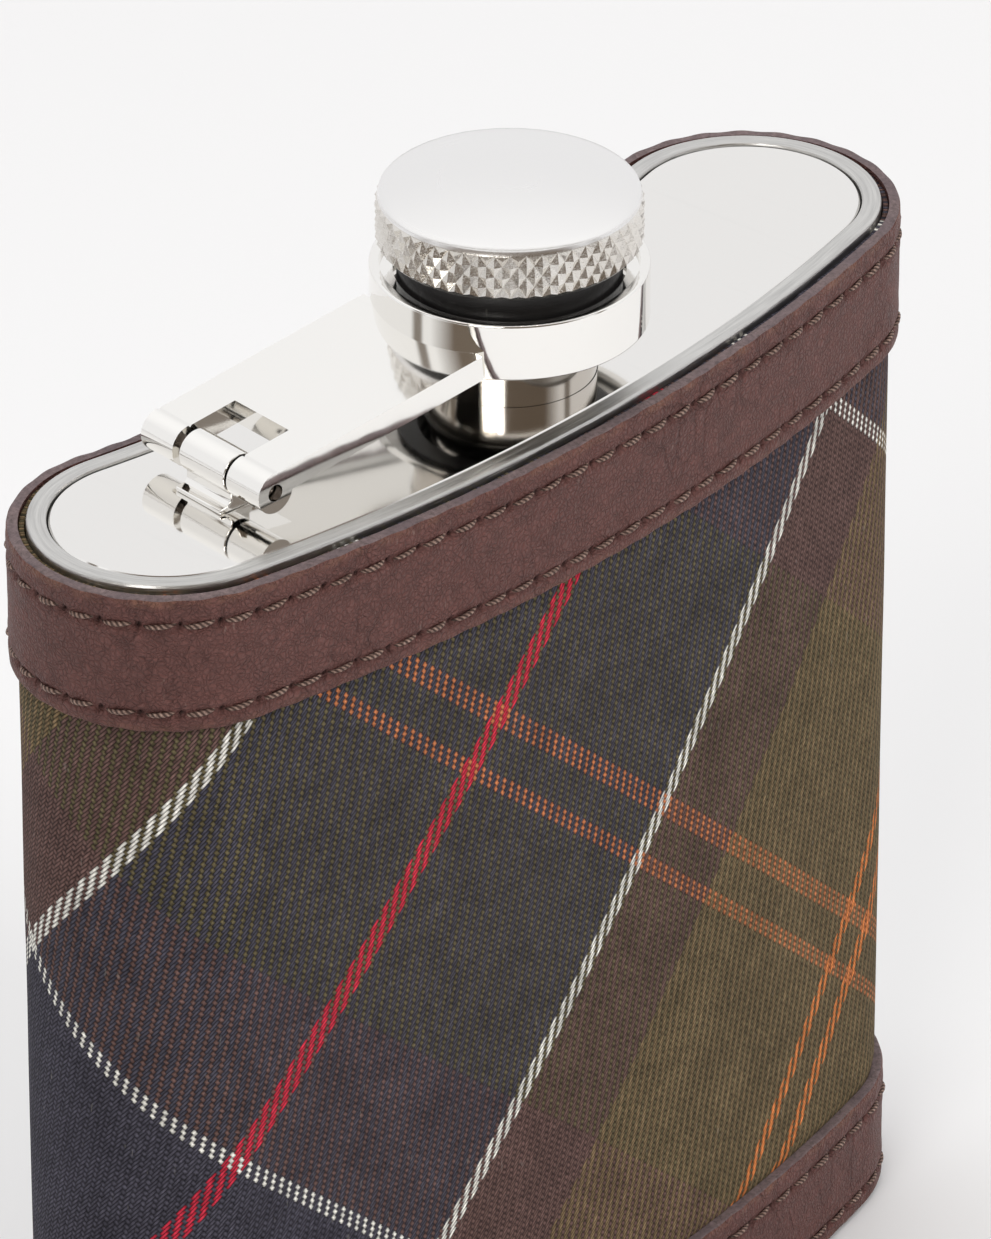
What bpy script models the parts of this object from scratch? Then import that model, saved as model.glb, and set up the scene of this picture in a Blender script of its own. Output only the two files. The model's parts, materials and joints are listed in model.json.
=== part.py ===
# Hip flask: a curved steel body with a hinged, captive screw cap, in a cloth wrap held by two
# stitched leather bands. Metres, +Z up. The origin is the middle of the base. The convex face
# looks along -Y, and the cap's arm hinges at the -X end of the top.
import math

import bmesh
import bpy
from mathutils import Matrix

MM = 0.001

# Body
BODY_WIDTH = 92 * MM
BODY_DEPTH = 22 * MM
BODY_HEIGHT = 95 * MM
BEND_RADIUS = 159 * MM        # of the line halfway between the convex and the concave face
WALL = 0.8 * MM
RIM_WIDTH = 1.6 * MM          # the wall's ends are turned in to this width
RIM_HEIGHT = 1.4 * MM
RIM_ROUND = 0.3 * MM
PLATE = 0.8 * MM
PLATE_RECESS = 0.15 * MM      # the top plate sits this far below the rim

# Neck. Heights are above the top plate.
NECK_X = 1.0 * MM
NECK_RADIUS = 7.0 * MM
NECK_STEP = 1.0 * MM          # the threaded part is this much smaller in radius
NECK_WALL = 1.0 * MM          # of the threaded part
NECK_INSIDE = 0.6 * MM        # length below the top plate
NECK_SHOULDER = 4.4 * MM
NECK_LIP = 0.4 * MM           # chamfer round the mouth
THREAD_RIDGE = 0.45 * MM
THREAD_PITCH = 1.5 * MM
THREAD_TURNS = 3
SHOULDER_TO_THREAD = 1.1 * MM
THREAD_TO_MOUTH = 0.6 * MM
THREAD_STEPS = 20             # points in one turn of the thread
UNSCREW_TURNS = 1.5           # of the cap, from tight to free

# Hinge, and the arm that carries the cap. Heights are above the top plate.
HINGE_TO_NECK = 30.9 * MM
ARM_HEADING = math.radians(6.5)   # the arm follows the bend of the body
HINGE_HEIGHT = 3.0 * MM
BARREL_RADIUS = 1.75 * MM
PIN_RADIUS = 0.6 * MM
PIN_INSET = 0.8 * MM
ARM_WIDTH = 14.0 * MM
ARM_BELOW_AXIS = 0.45 * MM
LUG_NEAR = 2.85 * MM          # the lug's two ends, measured from the middle of the arm
LUG_FAR = 2.5 * MM
LUG_PLAY_NEAR = 0.3 * MM
LUG_PLAY_FAR = 0.75 * MM
WINDOW_REACH = 5.0 * MM
FOOT_LENGTH = 4.2 * MM
FOOT_HEIGHT = 0.8 * MM
FOOT_INSET = 0.2 * MM         # the foot and web end this far inside the lug's barrel
WEB_THICKNESS = 2.4 * MM
BARREL_STEPS = 18
PIN_STEPS = 24

# Collar and cap. Heights are above the top plate, and a reach is beyond the insert's radius.
COLLAR_BOTTOM = 4.7 * MM
COLLAR_REACH = 2.2 * MM
COLLAR_LIP = 0.7 * MM
COLLAR_RECESS = 0.6 * MM
COLLAR_WALL = 0.8 * MM
COLLAR_CHAMFER = 0.25 * MM
INSERT_WALL = 1.65 * MM
INSERT_RECESS = 0.25 * MM     # from the collar's underside up to the insert
INSERT_FLANGE = 0.4 * MM      # below the ring
SWING_ROOM = 0.9 * MM         # radial room the swinging insert needs round the thread
RING_THICKNESS = 0.5 * MM
RING_REACH = 1.1 * MM
RING_SEAT = 0.8 * MM          # depth of the insert's groove for the ring
SEAL = 0.8 * MM
KNOB_REACH = 1.75 * MM
KNOB_ABOVE_COLLAR = 1.8 * MM
KNOB_EDGE = 0.3 * MM
KNURL_HEIGHT = 3.9 * MM
KNOB_CHAMFER = 0.55 * MM
POCKET_BELOW_KNURL = 0.5 * MM     # the insert's pocket ends this far below the knurl's top
DOME = 1.5 * MM
DOME_STEPS = 6

# Cloth and leather
FABRIC_INNER = 0.12 * MM
FABRIC_UNDER_BAND = 0.55 * MM
FABRIC_OUTER = 0.85 * MM
FABRIC_MARGIN = 0.4 * MM      # the cloth ends this far inside each band's outer edge
FABRIC_STEP = 0.9 * MM
LEATHER = 0.9 * MM
BAND_MARGIN = 0.4 * MM        # from the body's end to each band
TOP_BAND_HEIGHT = 11.8 * MM
BOTTOM_BAND_HEIGHT = 11.1 * MM
STITCH_FROM_OUTER_EDGE = 2.3 * MM
STITCH_FROM_INNER_EDGE = 1.6 * MM
THREAD_THICKNESS = 0.4 * MM
GROOVE_DEPTH = 0.4 * MM
GROOVE_WIDTH = 0.9 * MM
LEATHER_SOFT_EDGE = 0.2 * MM

GAP = 0.3 * MM                # between pieces that meet on a curved or a cut face
SEAT_GAP = 0.1 * MM           # between pieces that meet on a flat face or a pin
ARC_STEPS = 14
TURN_STEPS = 40
QUARTER_ABOUT_X = Matrix.Rotation(math.pi / 2, 3, "X")

PLATE_Z = BODY_HEIGHT - PLATE_RECESS
THREAD_ROOT = NECK_RADIUS - NECK_STEP
NECK_BORE = THREAD_ROOT - NECK_WALL
THREAD_START = NECK_SHOULDER + SHOULDER_TO_THREAD
NECK_TOP = THREAD_START + THREAD_TURNS * THREAD_PITCH + THREAD_TO_MOUTH
INSERT_BORE = THREAD_ROOT + THREAD_RIDGE + SWING_ROOM
INSERT_RADIUS = INSERT_BORE + INSERT_WALL
INSERT_BOTTOM = COLLAR_BOTTOM + INSERT_RECESS
RING_BOTTOM = INSERT_BOTTOM + INSERT_FLANGE + SEAT_GAP
RING_TOP = RING_BOTTOM + RING_THICKNESS
LIP_BOTTOM = RING_TOP + UNSCREW_TURNS * THREAD_PITCH + SEAT_GAP
LIP_TOP = LIP_BOTTOM + COLLAR_LIP
COLLAR_TOP = LIP_TOP + COLLAR_RECESS
COLLAR_RADIUS = INSERT_RADIUS + COLLAR_REACH
KNOB_RADIUS = INSERT_RADIUS + KNOB_REACH
KNOB_BOTTOM = COLLAR_TOP + KNOB_ABOVE_COLLAR
LEATHER_INNER = FABRIC_UNDER_BAND + FABRIC_INNER
LEATHER_OUTER = LEATHER_INNER + LEATHER
ARM_RISE = math.atan2(COLLAR_BOTTOM - HINGE_HEIGHT + ARM_BELOW_AXIS, HINGE_TO_NECK - COLLAR_RADIUS)


def clear_scene():
    for obj in list(bpy.data.objects):
        bpy.data.objects.remove(obj, do_unlink=True)


def new_collection(name):
    collection = bpy.data.collections.new(name)
    bpy.context.scene.collection.children.link(collection)
    return collection


clear_scene()
FLASK = new_collection("hip_flask")
CUTTERS = new_collection("cutters")


def material(name, colour, roughness, metallic):
    made = bpy.data.materials.new(name)
    made.use_nodes = True
    shader = made.node_tree.nodes["Principled BSDF"]
    shader.inputs["Base Color"].default_value = (*colour, 1)
    shader.inputs["Roughness"].default_value = roughness
    shader.inputs["Metallic"].default_value = metallic
    return made


def add_object(name, mesh, parent=None, look=None, smooth=True):
    # An object with a look is a piece of the flask, and one without is a cutter.
    obj = bpy.data.objects.new(name, mesh)
    (FLASK if look else CUTTERS).objects.link(obj)
    if look:
        mesh.materials.append(look)
    else:
        obj.hide_render = True
        obj.display_type = "WIRE"
    if smooth:
        mesh.shade_smooth()
    obj.parent = parent
    return obj


def mesh_of(bm, name):
    bmesh.ops.recalc_face_normals(bm, faces=bm.faces)
    mesh = bpy.data.meshes.new(name)
    bm.to_mesh(mesh)
    bm.free()
    return mesh


def boolean(target, other, operation):
    modifier = target.modifiers.new(operation.lower() + "_" + other.name, "BOOLEAN")
    modifier.object = other
    modifier.operation = operation


def arc(centre, radius, start, end, steps):
    angles = [start + (end - start) * i / steps for i in range(steps + 1)]
    return [(centre[0] + radius * math.cos(a), centre[1] + radius * math.sin(a)) for a in angles]


def body_outline(offset):
    # The body's plan moved outwards: a long convex arc, a round end, a concave arc, a round end.
    end_radius = BODY_DEPTH / 2
    half_bend = math.asin((BODY_WIDTH / 2 - end_radius) / BEND_RADIUS)
    bend = (0, BEND_RADIUS)
    quarter = math.pi / 2
    convex, concave = BEND_RADIUS + end_radius + offset, BEND_RADIUS - end_radius - offset
    front = arc(bend, convex, -quarter - half_bend, half_bend - quarter, ARC_STEPS)
    back = arc(bend, concave, half_bend - quarter, -quarter - half_bend, ARC_STEPS)
    end_x = BEND_RADIUS * math.sin(half_bend)
    end_y = BEND_RADIUS - BEND_RADIUS * math.cos(half_bend)
    outer = end_radius + offset
    right = arc((end_x, end_y), outer, half_bend - quarter, half_bend + quarter, ARC_STEPS)
    left = arc((-end_x, end_y), outer, quarter - half_bend, 3 * quarter - half_bend, ARC_STEPS)
    return front[:-1] + right[:-1] + back[:-1] + left[:-1]


def ring_at(bm, offset, z):
    return [bm.verts.new((x, y, z)) for x, y in body_outline(offset)]


def swept_band(name, section, look):
    # A closed section of (offset, z) points carried round the body's plan.
    bm = bmesh.new()
    rings = [ring_at(bm, offset, z) for offset, z in section]
    count = len(rings[0])
    for one, following in zip(rings, rings[1:] + rings[:1]):
        for i in range(count):
            j = (i + 1) % count
            bm.faces.new((one[i], one[j], following[j], following[i]))
    obj = add_object(name, mesh_of(bm, name), look=look)
    obj.data.set_sharp_from_angle(angle=math.radians(40))
    return obj


def plate(name, offset, bottom, look):
    bm = bmesh.new()
    bm.faces.new(ring_at(bm, offset, bottom))
    raised = bmesh.ops.extrude_face_region(bm, geom=bm.faces[:])["geom"]
    top = [item for item in raised if isinstance(item, bmesh.types.BMVert)]
    bmesh.ops.translate(bm, verts=top, vec=(0, 0, PLATE))
    return add_object(name, mesh_of(bm, name), look=look, smooth=False)


def turned(name, profile, parent, look=None, closed=False):
    # The profile's (radius, z) points run down the outer side, and a closed one back up the inner.
    mesh = bpy.data.meshes.new(name)
    pairs = [(i, i + 1) for i in range(len(profile) - 1)]
    if closed:
        pairs.append((len(profile) - 1, 0))
    mesh.from_pydata([(radius, 0, z) for radius, z in profile], pairs, [])
    obj = add_object(name, mesh, parent, look, smooth=False)
    screw = obj.modifiers.new("turn", "SCREW")
    screw.steps = screw.render_steps = TURN_STEPS
    screw.use_merge_vertices = True
    screw.merge_threshold = 0.00001
    screw.use_smooth_shade = True
    return obj


def cylinder_along_y(name, radius, near, far, parent, look=None):
    # It runs from -near to +far along its parent's Y.
    bm = bmesh.new()
    bmesh.ops.create_cone(
        bm, cap_ends=True, segments=PIN_STEPS, radius1=radius, radius2=radius, depth=near + far
    )
    bmesh.ops.rotate(bm, verts=bm.verts, cent=(0, 0, 0), matrix=QUARTER_ABOUT_X)
    bmesh.ops.translate(bm, verts=bm.verts, vec=(0, (far - near) / 2, 0))
    return add_object(name, mesh_of(bm, name), parent, look)


def box(name, low, high, parent, look=None):
    bm = bmesh.new()
    bmesh.ops.create_cube(bm, size=1)
    bmesh.ops.scale(bm, verts=bm.verts, vec=[b - a for a, b in zip(low, high)])
    bmesh.ops.translate(bm, verts=bm.verts, vec=[(a + b) / 2 for a, b in zip(low, high)])
    return add_object(name, mesh_of(bm, name), parent, look, smooth=False)


def side_plate(name, outline, near, far, parent, look=None):
    # A flat outline of (x, z) points made solid from -near to +far along its parent's Y.
    bm = bmesh.new()
    corners = [bm.verts.new((x, -near, z)) for x, z in outline]
    bm.faces.new(corners)
    raised = bmesh.ops.extrude_face_region(bm, geom=bm.faces[:])["geom"]
    moved = [item for item in raised if isinstance(item, bmesh.types.BMVert)]
    bmesh.ops.translate(bm, verts=moved, vec=(0, near + far, 0))
    return add_object(name, mesh_of(bm, name), parent, look, smooth=False)


def tube(name, points, radius, parent, look=None, cyclic=False):
    curve = bpy.data.curves.new(name, "CURVE")
    curve.dimensions = "3D"
    curve.bevel_depth = radius
    curve.bevel_resolution = 1
    curve.use_fill_caps = not cyclic
    spline = curve.splines.new("POLY")
    spline.points.add(len(points) - 1)
    for point, place in zip(spline.points, points):
        point.co = (*place, 1)
    spline.use_cyclic_u = cyclic
    obj = bpy.data.objects.new(name, curve)
    (FLASK if look else CUTTERS).objects.link(obj)
    obj.parent = parent
    if look:
        curve.materials.append(look)
    return obj


def as_mesh(curve_object):
    # Booleans take only meshes, so the curve is replaced by its own evaluated mesh.
    name = curve_object.name
    bpy.context.view_layer.update()
    evaluated = curve_object.evaluated_get(bpy.context.evaluated_depsgraph_get())
    mesh = bpy.data.meshes.new_from_object(evaluated)
    bm = bmesh.new()
    bm.from_mesh(mesh)
    bmesh.ops.remove_doubles(bm, verts=bm.verts, dist=0.000001)
    bpy.data.meshes.remove(mesh)
    parent = curve_object.parent
    bpy.data.objects.remove(curve_object, do_unlink=True)
    return add_object(name, mesh_of(bm, name), parent)


def axis_empty(name, place, heading=0.0, parent=None):
    empty = bpy.data.objects.new(name, None)
    FLASK.objects.link(empty)
    empty.empty_display_size = 5 * MM
    empty.location = place
    empty.rotation_euler = (0, 0, heading)
    empty.parent = parent
    return empty


STEEL = material("polished_steel", (0.78, 0.78, 0.77), 0.12, 1.0)
BRUSHED = material("brushed_steel", (0.66, 0.67, 0.66), 0.32, 1.0)
SATIN = material("satin_knob_steel", (0.74, 0.72, 0.68), 0.22, 1.0)
MOULDING = material("black_moulding", (0.02, 0.02, 0.022), 0.4, 0.0)
RUBBER = material("seal_rubber", (0.7, 0.69, 0.66), 0.7, 0.0)
CLOTH = material("tartan_cloth", (0.075, 0.062, 0.045), 0.9, 0.0)
HIDE = material("brown_leather", (0.105, 0.044, 0.037), 0.6, 0.0)
THREAD = material("waxed_thread", (0.36, 0.24, 0.18), 0.7, 0.0)

# The cap's axis stands on the top plate, and the arm's on the hinge.
cap_axis = axis_empty("cap_axis", (NECK_X, 0, PLATE_Z))
hinge_x = NECK_X - HINGE_TO_NECK * math.cos(ARM_HEADING)
hinge_y = HINGE_TO_NECK * math.sin(ARM_HEADING)
hinge_axis = axis_empty("hinge_axis", (hinge_x, hinge_y, PLATE_Z + HINGE_HEIGHT), -ARM_HEADING)


def make_body_wall():
    # Both ends are turned in to a rounded rim that frames the plate.
    top, inner, rim = BODY_HEIGHT, -WALL, -RIM_WIDTH
    section = [
        (0, RIM_ROUND), (0, top - RIM_ROUND), (-RIM_ROUND, top), (rim + RIM_ROUND, top),
        (rim, top - RIM_ROUND), (rim, top - RIM_HEIGHT), (inner, top - RIM_HEIGHT - RIM_WIDTH + WALL),
        (inner, RIM_HEIGHT + RIM_WIDTH - WALL), (rim, RIM_HEIGHT), (rim, 0), (-RIM_ROUND, 0),
    ]
    return swept_band("body_wall", section, BRUSHED)


def make_plates():
    top = plate("top_plate", -RIM_WIDTH - GAP, PLATE_Z - PLATE, STEEL)
    hole = turned("neck_hole", disc(NECK_RADIUS + GAP, -2 * PLATE, PLATE), cap_axis)
    boolean(top, hole, "DIFFERENCE")
    plate("bottom_plate", -RIM_WIDTH - GAP, 0, BRUSHED)


def disc(radius, bottom, top):
    return [(0, top), (radius, top), (radius, bottom), (0, bottom)]


def make_neck():
    # A plain shoulder with a round thread rolled on the narrower part above it.
    bottom = -PLATE - NECK_INSIDE
    slope = NECK_STEP / 2
    below_lip = NECK_TOP - NECK_LIP / 2
    profile = [
        (NECK_BORE + NECK_LIP / 2, NECK_TOP), (THREAD_ROOT - NECK_LIP / 2, NECK_TOP),
        (THREAD_ROOT, below_lip), (THREAD_ROOT, NECK_SHOULDER + slope),
        (NECK_RADIUS - slope, NECK_SHOULDER), (NECK_RADIUS, NECK_SHOULDER - slope),
        (NECK_RADIUS, bottom), (NECK_BORE, bottom), (NECK_BORE, below_lip),
    ]
    neck = turned("neck", profile, cap_axis, STEEL, closed=True)
    helix = []
    for i in range(THREAD_TURNS * THREAD_STEPS + 1):
        angle = 2 * math.pi * i / THREAD_STEPS
        height = THREAD_START + THREAD_PITCH * i / THREAD_STEPS
        helix.append((THREAD_ROOT * math.cos(angle), THREAD_ROOT * math.sin(angle), height))
    ridge = as_mesh(tube("thread_ridge", helix, THREAD_RIDGE, cap_axis))
    boolean(neck, ridge, "UNION")


def make_hinge_lug():
    # A foot on the plate, a web, and the middle barrel that the arm's two barrels turn beside.
    lug = cylinder_along_y("hinge_lug", BARREL_RADIUS, LUG_NEAR, LUG_FAR, hinge_axis, STEEL)
    half_web, half_foot = WEB_THICKNESS / 2, FOOT_LENGTH / 2
    floor = SEAT_GAP - HINGE_HEIGHT
    foot_top = floor + FOOT_HEIGHT
    outline = [
        (-half_foot, floor), (half_foot, floor), (half_foot, foot_top), (half_web, foot_top),
        (half_web, 0), (-half_web, 0), (-half_web, foot_top), (-half_foot, foot_top),
    ]
    near, far = LUG_NEAR - FOOT_INSET, LUG_FAR - FOOT_INSET
    web = side_plate("lug_web", outline, near, far, hinge_axis)
    boolean(lug, web, "UNION")
    boolean(lug, pin_hole, "DIFFERENCE")


def make_hinge_pin():
    reach = ARM_WIDTH / 2 - PIN_INSET
    cylinder_along_y("hinge_pin", PIN_RADIUS, reach, reach, hinge_axis, BRUSHED)


def make_captive_arm():
    # The arm's side outline is its barrel and plate in one. It rises from the hinge to the collar.
    top, under = BARREL_RADIUS, -ARM_BELOW_AXIS
    meeting = 2 * math.pi - math.asin(ARM_BELOW_AXIS / BARREL_RADIUS)
    end = HINGE_TO_NECK - INSERT_RADIUS
    barrel = arc((0, 0), BARREL_RADIUS, math.pi / 2, meeting, BARREL_STEPS)
    tilt = axis_empty("arm_tilt", (0, 0, 0), parent=hinge_axis)
    tilt.rotation_euler = (0, -ARM_RISE, 0)
    half = ARM_WIDTH / 2
    arm = side_plate("captive_arm", barrel + [(end, under), (end, top)], half, half, tilt, STEEL)

    high, low, edge, outer = COLLAR_TOP, COLLAR_BOTTOM, COLLAR_CHAMFER, COLLAR_RADIUS
    collar = turned("collar_blank", [
        (0, high), (outer - edge, high), (outer, high - edge),
        (outer, low + edge), (outer - edge, low), (0, low),
    ], cap_axis)
    boolean(arm, collar, "UNION")

    # The bore has a lip that the cap's ring is caught under.
    well, inner = COLLAR_RADIUS - COLLAR_WALL, INSERT_RADIUS + GAP
    over, under = high + COLLAR_RECESS, low - COLLAR_RECESS
    bore = turned("collar_bore", [
        (0, over), (well - edge, over), (well - edge, LIP_TOP), (inner, LIP_TOP),
        (inner, LIP_BOTTOM), (well, LIP_BOTTOM), (well, under), (0, under),
    ], cap_axis)
    boolean(arm, bore, "DIFFERENCE")

    window = box(
        "lug_window",
        (-2 * BARREL_RADIUS, -LUG_NEAR - LUG_PLAY_NEAR, -2 * BARREL_RADIUS),
        (WINDOW_REACH, LUG_FAR + LUG_PLAY_FAR, 2 * BARREL_RADIUS),
        tilt,
    )
    boolean(arm, window, "DIFFERENCE")
    boolean(arm, pin_hole, "DIFFERENCE")


def make_cap():
    # The moulded insert hangs from the knob through the collar, and its ring keeps it there.
    knurl_top = KNOB_BOTTOM + KNURL_HEIGHT
    shoulder = knurl_top + KNOB_CHAMFER
    flat = KNOB_RADIUS - KNOB_CHAMFER
    pocket, bore = knurl_top - POCKET_BELOW_KNURL, INSERT_RADIUS + GAP
    crown = [
        (flat * math.sin(angle), shoulder + DOME * math.cos(angle))
        for angle in (math.pi / 2 * i / DOME_STEPS for i in range(DOME_STEPS))
    ]
    turned("cap_knob", crown + [
        (flat, shoulder), (KNOB_RADIUS, knurl_top), (KNOB_RADIUS, KNOB_BOTTOM + KNOB_EDGE),
        (KNOB_RADIUS - KNOB_EDGE, KNOB_BOTTOM), (bore, KNOB_BOTTOM), (bore, pocket), (0, pocket),
    ], cap_axis, SATIN)

    seal_bottom = NECK_TOP + GAP
    ceiling = seal_bottom + SEAL + SEAT_GAP
    roof = pocket - GAP
    seat = INSERT_RADIUS - RING_SEAT
    groove_bottom, groove_top = RING_BOTTOM - SEAT_GAP, RING_TOP + SEAT_GAP
    turned("cap_insert", [
        (0, roof), (INSERT_RADIUS, roof), (INSERT_RADIUS, groove_top), (seat, groove_top),
        (seat, groove_bottom), (INSERT_RADIUS, groove_bottom), (INSERT_RADIUS, INSERT_BOTTOM),
        (INSERT_BORE, INSERT_BOTTOM), (INSERT_BORE, ceiling), (0, ceiling),
    ], cap_axis, MOULDING)

    turned("seal_washer", disc(INSERT_BORE - GAP, seal_bottom, seal_bottom + SEAL), cap_axis, RUBBER)

    outer, inner = INSERT_RADIUS + RING_REACH, seat + SEAT_GAP
    turned("retaining_ring", [
        (inner, RING_TOP), (outer, RING_TOP), (outer, RING_BOTTOM), (inner, RING_BOTTOM),
    ], cap_axis, BRUSHED, closed=True)


def make_fabric_wrap():
    low, high = BAND_MARGIN + FABRIC_MARGIN, BODY_HEIGHT - BAND_MARGIN - FABRIC_MARGIN
    from_band = BAND_MARGIN + BOTTOM_BAND_HEIGHT
    to_band = BODY_HEIGHT - BAND_MARGIN - TOP_BAND_HEIGHT
    section = [
        (FABRIC_UNDER_BAND, low), (FABRIC_UNDER_BAND, from_band), (FABRIC_OUTER, from_band + FABRIC_STEP),
        (FABRIC_OUTER, to_band - FABRIC_STEP), (FABRIC_UNDER_BAND, to_band), (FABRIC_UNDER_BAND, high),
        (FABRIC_INNER, high), (FABRIC_INNER, low),
    ]
    swept_band("fabric_wrap", section, CLOTH)


def groove(z):
    # The thread pulls a shallow groove into the leather along each row.
    half = GROOVE_WIDTH / 2
    floor = LEATHER_OUTER - GROOVE_DEPTH
    return [
        (LEATHER_OUTER, z - half), (floor, z - half / 3),
        (floor, z + half / 3), (LEATHER_OUTER, z + half),
    ]


def make_band(name, low, high, rows):
    soft = LEATHER_SOFT_EDGE
    outer_face = [(LEATHER_OUTER - soft, low), (LEATHER_OUTER, low + soft)]
    for z in sorted(rows.values()):
        outer_face += groove(z)
    outer_face += [(LEATHER_OUTER, high - soft), (LEATHER_OUTER - soft, high)]
    swept_band(name, outer_face + [(LEATHER_INNER, high), (LEATHER_INNER, low)], HIDE)
    radius = THREAD_THICKNESS / 2
    middle = LEATHER_OUTER - GROOVE_DEPTH + SEAT_GAP + radius
    for row, z in rows.items():
        points = [(x, y, z) for x, y in body_outline(middle)]
        tube(f"{name}_{row}_stitching", points, radius, None, THREAD, cyclic=True)


def make_bands():
    low = BAND_MARGIN
    high = low + BOTTOM_BAND_HEIGHT
    make_band("bottom_band", low, high, {
        "upper": high - STITCH_FROM_OUTER_EDGE, "lower": low + STITCH_FROM_INNER_EDGE,
    })
    high = BODY_HEIGHT - BAND_MARGIN
    low = high - TOP_BAND_HEIGHT
    make_band("top_band", low, high, {
        "upper": high - STITCH_FROM_OUTER_EDGE, "lower": low + STITCH_FROM_INNER_EDGE,
    })


pin_hole = cylinder_along_y("pin_hole", PIN_RADIUS + SEAT_GAP, ARM_WIDTH, ARM_WIDTH, hinge_axis)
make_body_wall()
make_plates()
make_neck()
make_hinge_lug()
make_hinge_pin()
make_captive_arm()
make_cap()
make_fabric_wrap()
make_bands()
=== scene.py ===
# Hip flask, the looks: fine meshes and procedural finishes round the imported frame. Metres, +Z up.
import json
import math
import random

import bmesh
import bpy
from mathutils import Matrix, Vector, noise


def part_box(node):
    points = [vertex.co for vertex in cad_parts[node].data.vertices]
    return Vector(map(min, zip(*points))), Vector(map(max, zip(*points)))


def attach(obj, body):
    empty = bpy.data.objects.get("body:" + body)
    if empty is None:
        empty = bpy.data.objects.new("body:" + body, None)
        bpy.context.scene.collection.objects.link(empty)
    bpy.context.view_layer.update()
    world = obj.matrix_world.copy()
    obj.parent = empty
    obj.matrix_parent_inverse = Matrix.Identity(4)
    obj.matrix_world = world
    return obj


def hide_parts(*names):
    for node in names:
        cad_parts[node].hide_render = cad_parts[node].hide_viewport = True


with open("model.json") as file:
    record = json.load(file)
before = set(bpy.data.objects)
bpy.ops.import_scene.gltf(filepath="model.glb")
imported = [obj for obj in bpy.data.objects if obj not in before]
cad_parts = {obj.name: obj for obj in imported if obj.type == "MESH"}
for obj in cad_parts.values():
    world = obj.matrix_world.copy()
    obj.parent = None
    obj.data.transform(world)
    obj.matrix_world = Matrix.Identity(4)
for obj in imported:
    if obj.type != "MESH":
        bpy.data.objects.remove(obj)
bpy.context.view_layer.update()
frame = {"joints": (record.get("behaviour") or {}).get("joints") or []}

mm = 0.001
turn = 2 * math.pi

# Places that every piece takes from the frame
wallLow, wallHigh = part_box("body_wall")
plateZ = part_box("top_plate")[1].z
knobLow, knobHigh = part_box("cap_knob")
neckAxis = Vector(((knobLow.x + knobHigh.x) / 2, (knobLow.y + knobHigh.y) / 2, plateZ))
swing = next(joint for joint in frame["joints"] if joint["name"] == "arm_swing")
hingePlace = Vector(swing["pos_m"])
pinLine = -Vector(swing["axis"])
armAngle = math.atan2(pinLine.y, pinLine.x) - math.pi / 2
hingeMatrix = Matrix.Translation(hingePlace) @ Matrix.Rotation(armAngle, 4, "Z")

bodyPlan = {
    "depth": 22 * mm,
    "bendRadius": 159 * mm,   # of the line halfway between the two faces
    "stitches": (24, 12, 21, 12),   # convex face, right end, concave face, left end
}
endRadius = bodyPlan["depth"] / 2
halfBend = math.asin((wallHigh.x - endRadius) / bodyPlan["bendRadius"])
bendCentre = Vector((0, bodyPlan["bendRadius"], 0))
endX = bodyPlan["bendRadius"] * math.sin(halfBend)
endY = bodyPlan["bendRadius"] * (1 - math.cos(halfBend))
stitchTotal = sum(bodyPlan["stitches"])
seamPhase = 46.5    # the joints of the cloth and the leather, in the middle of the concave face

# The plan's four arcs: centre, first angle, sweep, radius of the steel, side that offsets go to
planArcs = (
    (bendCentre, -math.pi / 2 - halfBend, 2 * halfBend, bodyPlan["bendRadius"] + endRadius, 1),
    (Vector((endX, endY, 0)), halfBend - math.pi / 2, math.pi, endRadius, 1),
    (bendCentre, halfBend - math.pi / 2, -2 * halfBend, bodyPlan["bendRadius"] - endRadius, -1),
    (Vector((-endX, endY, 0)), math.pi / 2 - halfBend, math.pi, endRadius, 1),
)


def planPoint(phase, offset, z):
    # Phase counts stitches round the plan from the left end of the convex face.
    phase %= stitchTotal
    for (centre, first, sweep, radius, side), count in zip(planArcs, bodyPlan["stitches"]):
        if phase <= count:
            angle = first + sweep * phase / count
            reach = radius + side * offset
            return centre + Vector((reach * math.cos(angle), reach * math.sin(angle), z))
        phase -= count


def planWhere(point):
    # The phase, the offset from the steel, and the outward direction of a point near the body.
    flat = Vector((point.x, point.y, 0))
    away = flat - bendCentre
    angle = math.atan2(away.x, -away.y)
    convex, right, concave, left = bodyPlan["stitches"]
    if abs(angle) <= halfBend + 1e-9:
        share = min(max((angle + halfBend) / (2 * halfBend), 0), 1)
        if away.length > bodyPlan["bendRadius"]:
            return share * convex, away.length - planArcs[0][3], away.normalized()
        return convex + right + (1 - share) * concave, planArcs[2][3] - away.length, -away.normalized()
    side = 1 if angle > 0 else 3
    centre, first = planArcs[side][:2]
    out = flat - centre
    share = ((math.atan2(out.y, out.x) - first) % turn) / math.pi
    share = share - 2 if share > 1.5 else share
    start = convex if side == 1 else convex + right + concave
    count = right if side == 1 else left
    return (start + min(max(share, 0), 1) * count) % stitchTotal, out.length - endRadius, out.normalized()


def sweepRoundPlan(bm, start, stepsPerStitch):
    # Spins a section, drawn at the plan's start, through the four arcs and closes it on itself.
    ring = start
    for (centre, _, sweep, _, _), count in zip(planArcs, bodyPlan["stitches"]):
        steps = round(count * stepsPerStitch)
        spun = bmesh.ops.spin(bm, geom=ring, cent=centre, axis=(0, 0, 1), angle=sweep, steps=steps)
        ring = spun["geom_last"]
    bmesh.ops.remove_doubles(bm, verts=bm.verts, dist=0.02 * mm)


def drawLine(bm, points, closed=True):
    verts = [bm.verts.new(point) for point in points]
    edges = [bm.edges.new(pair) for pair in zip(verts, verts[1:])]
    if closed:
        edges.append(bm.edges.new((verts[-1], verts[0])))
    return verts, edges


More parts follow.
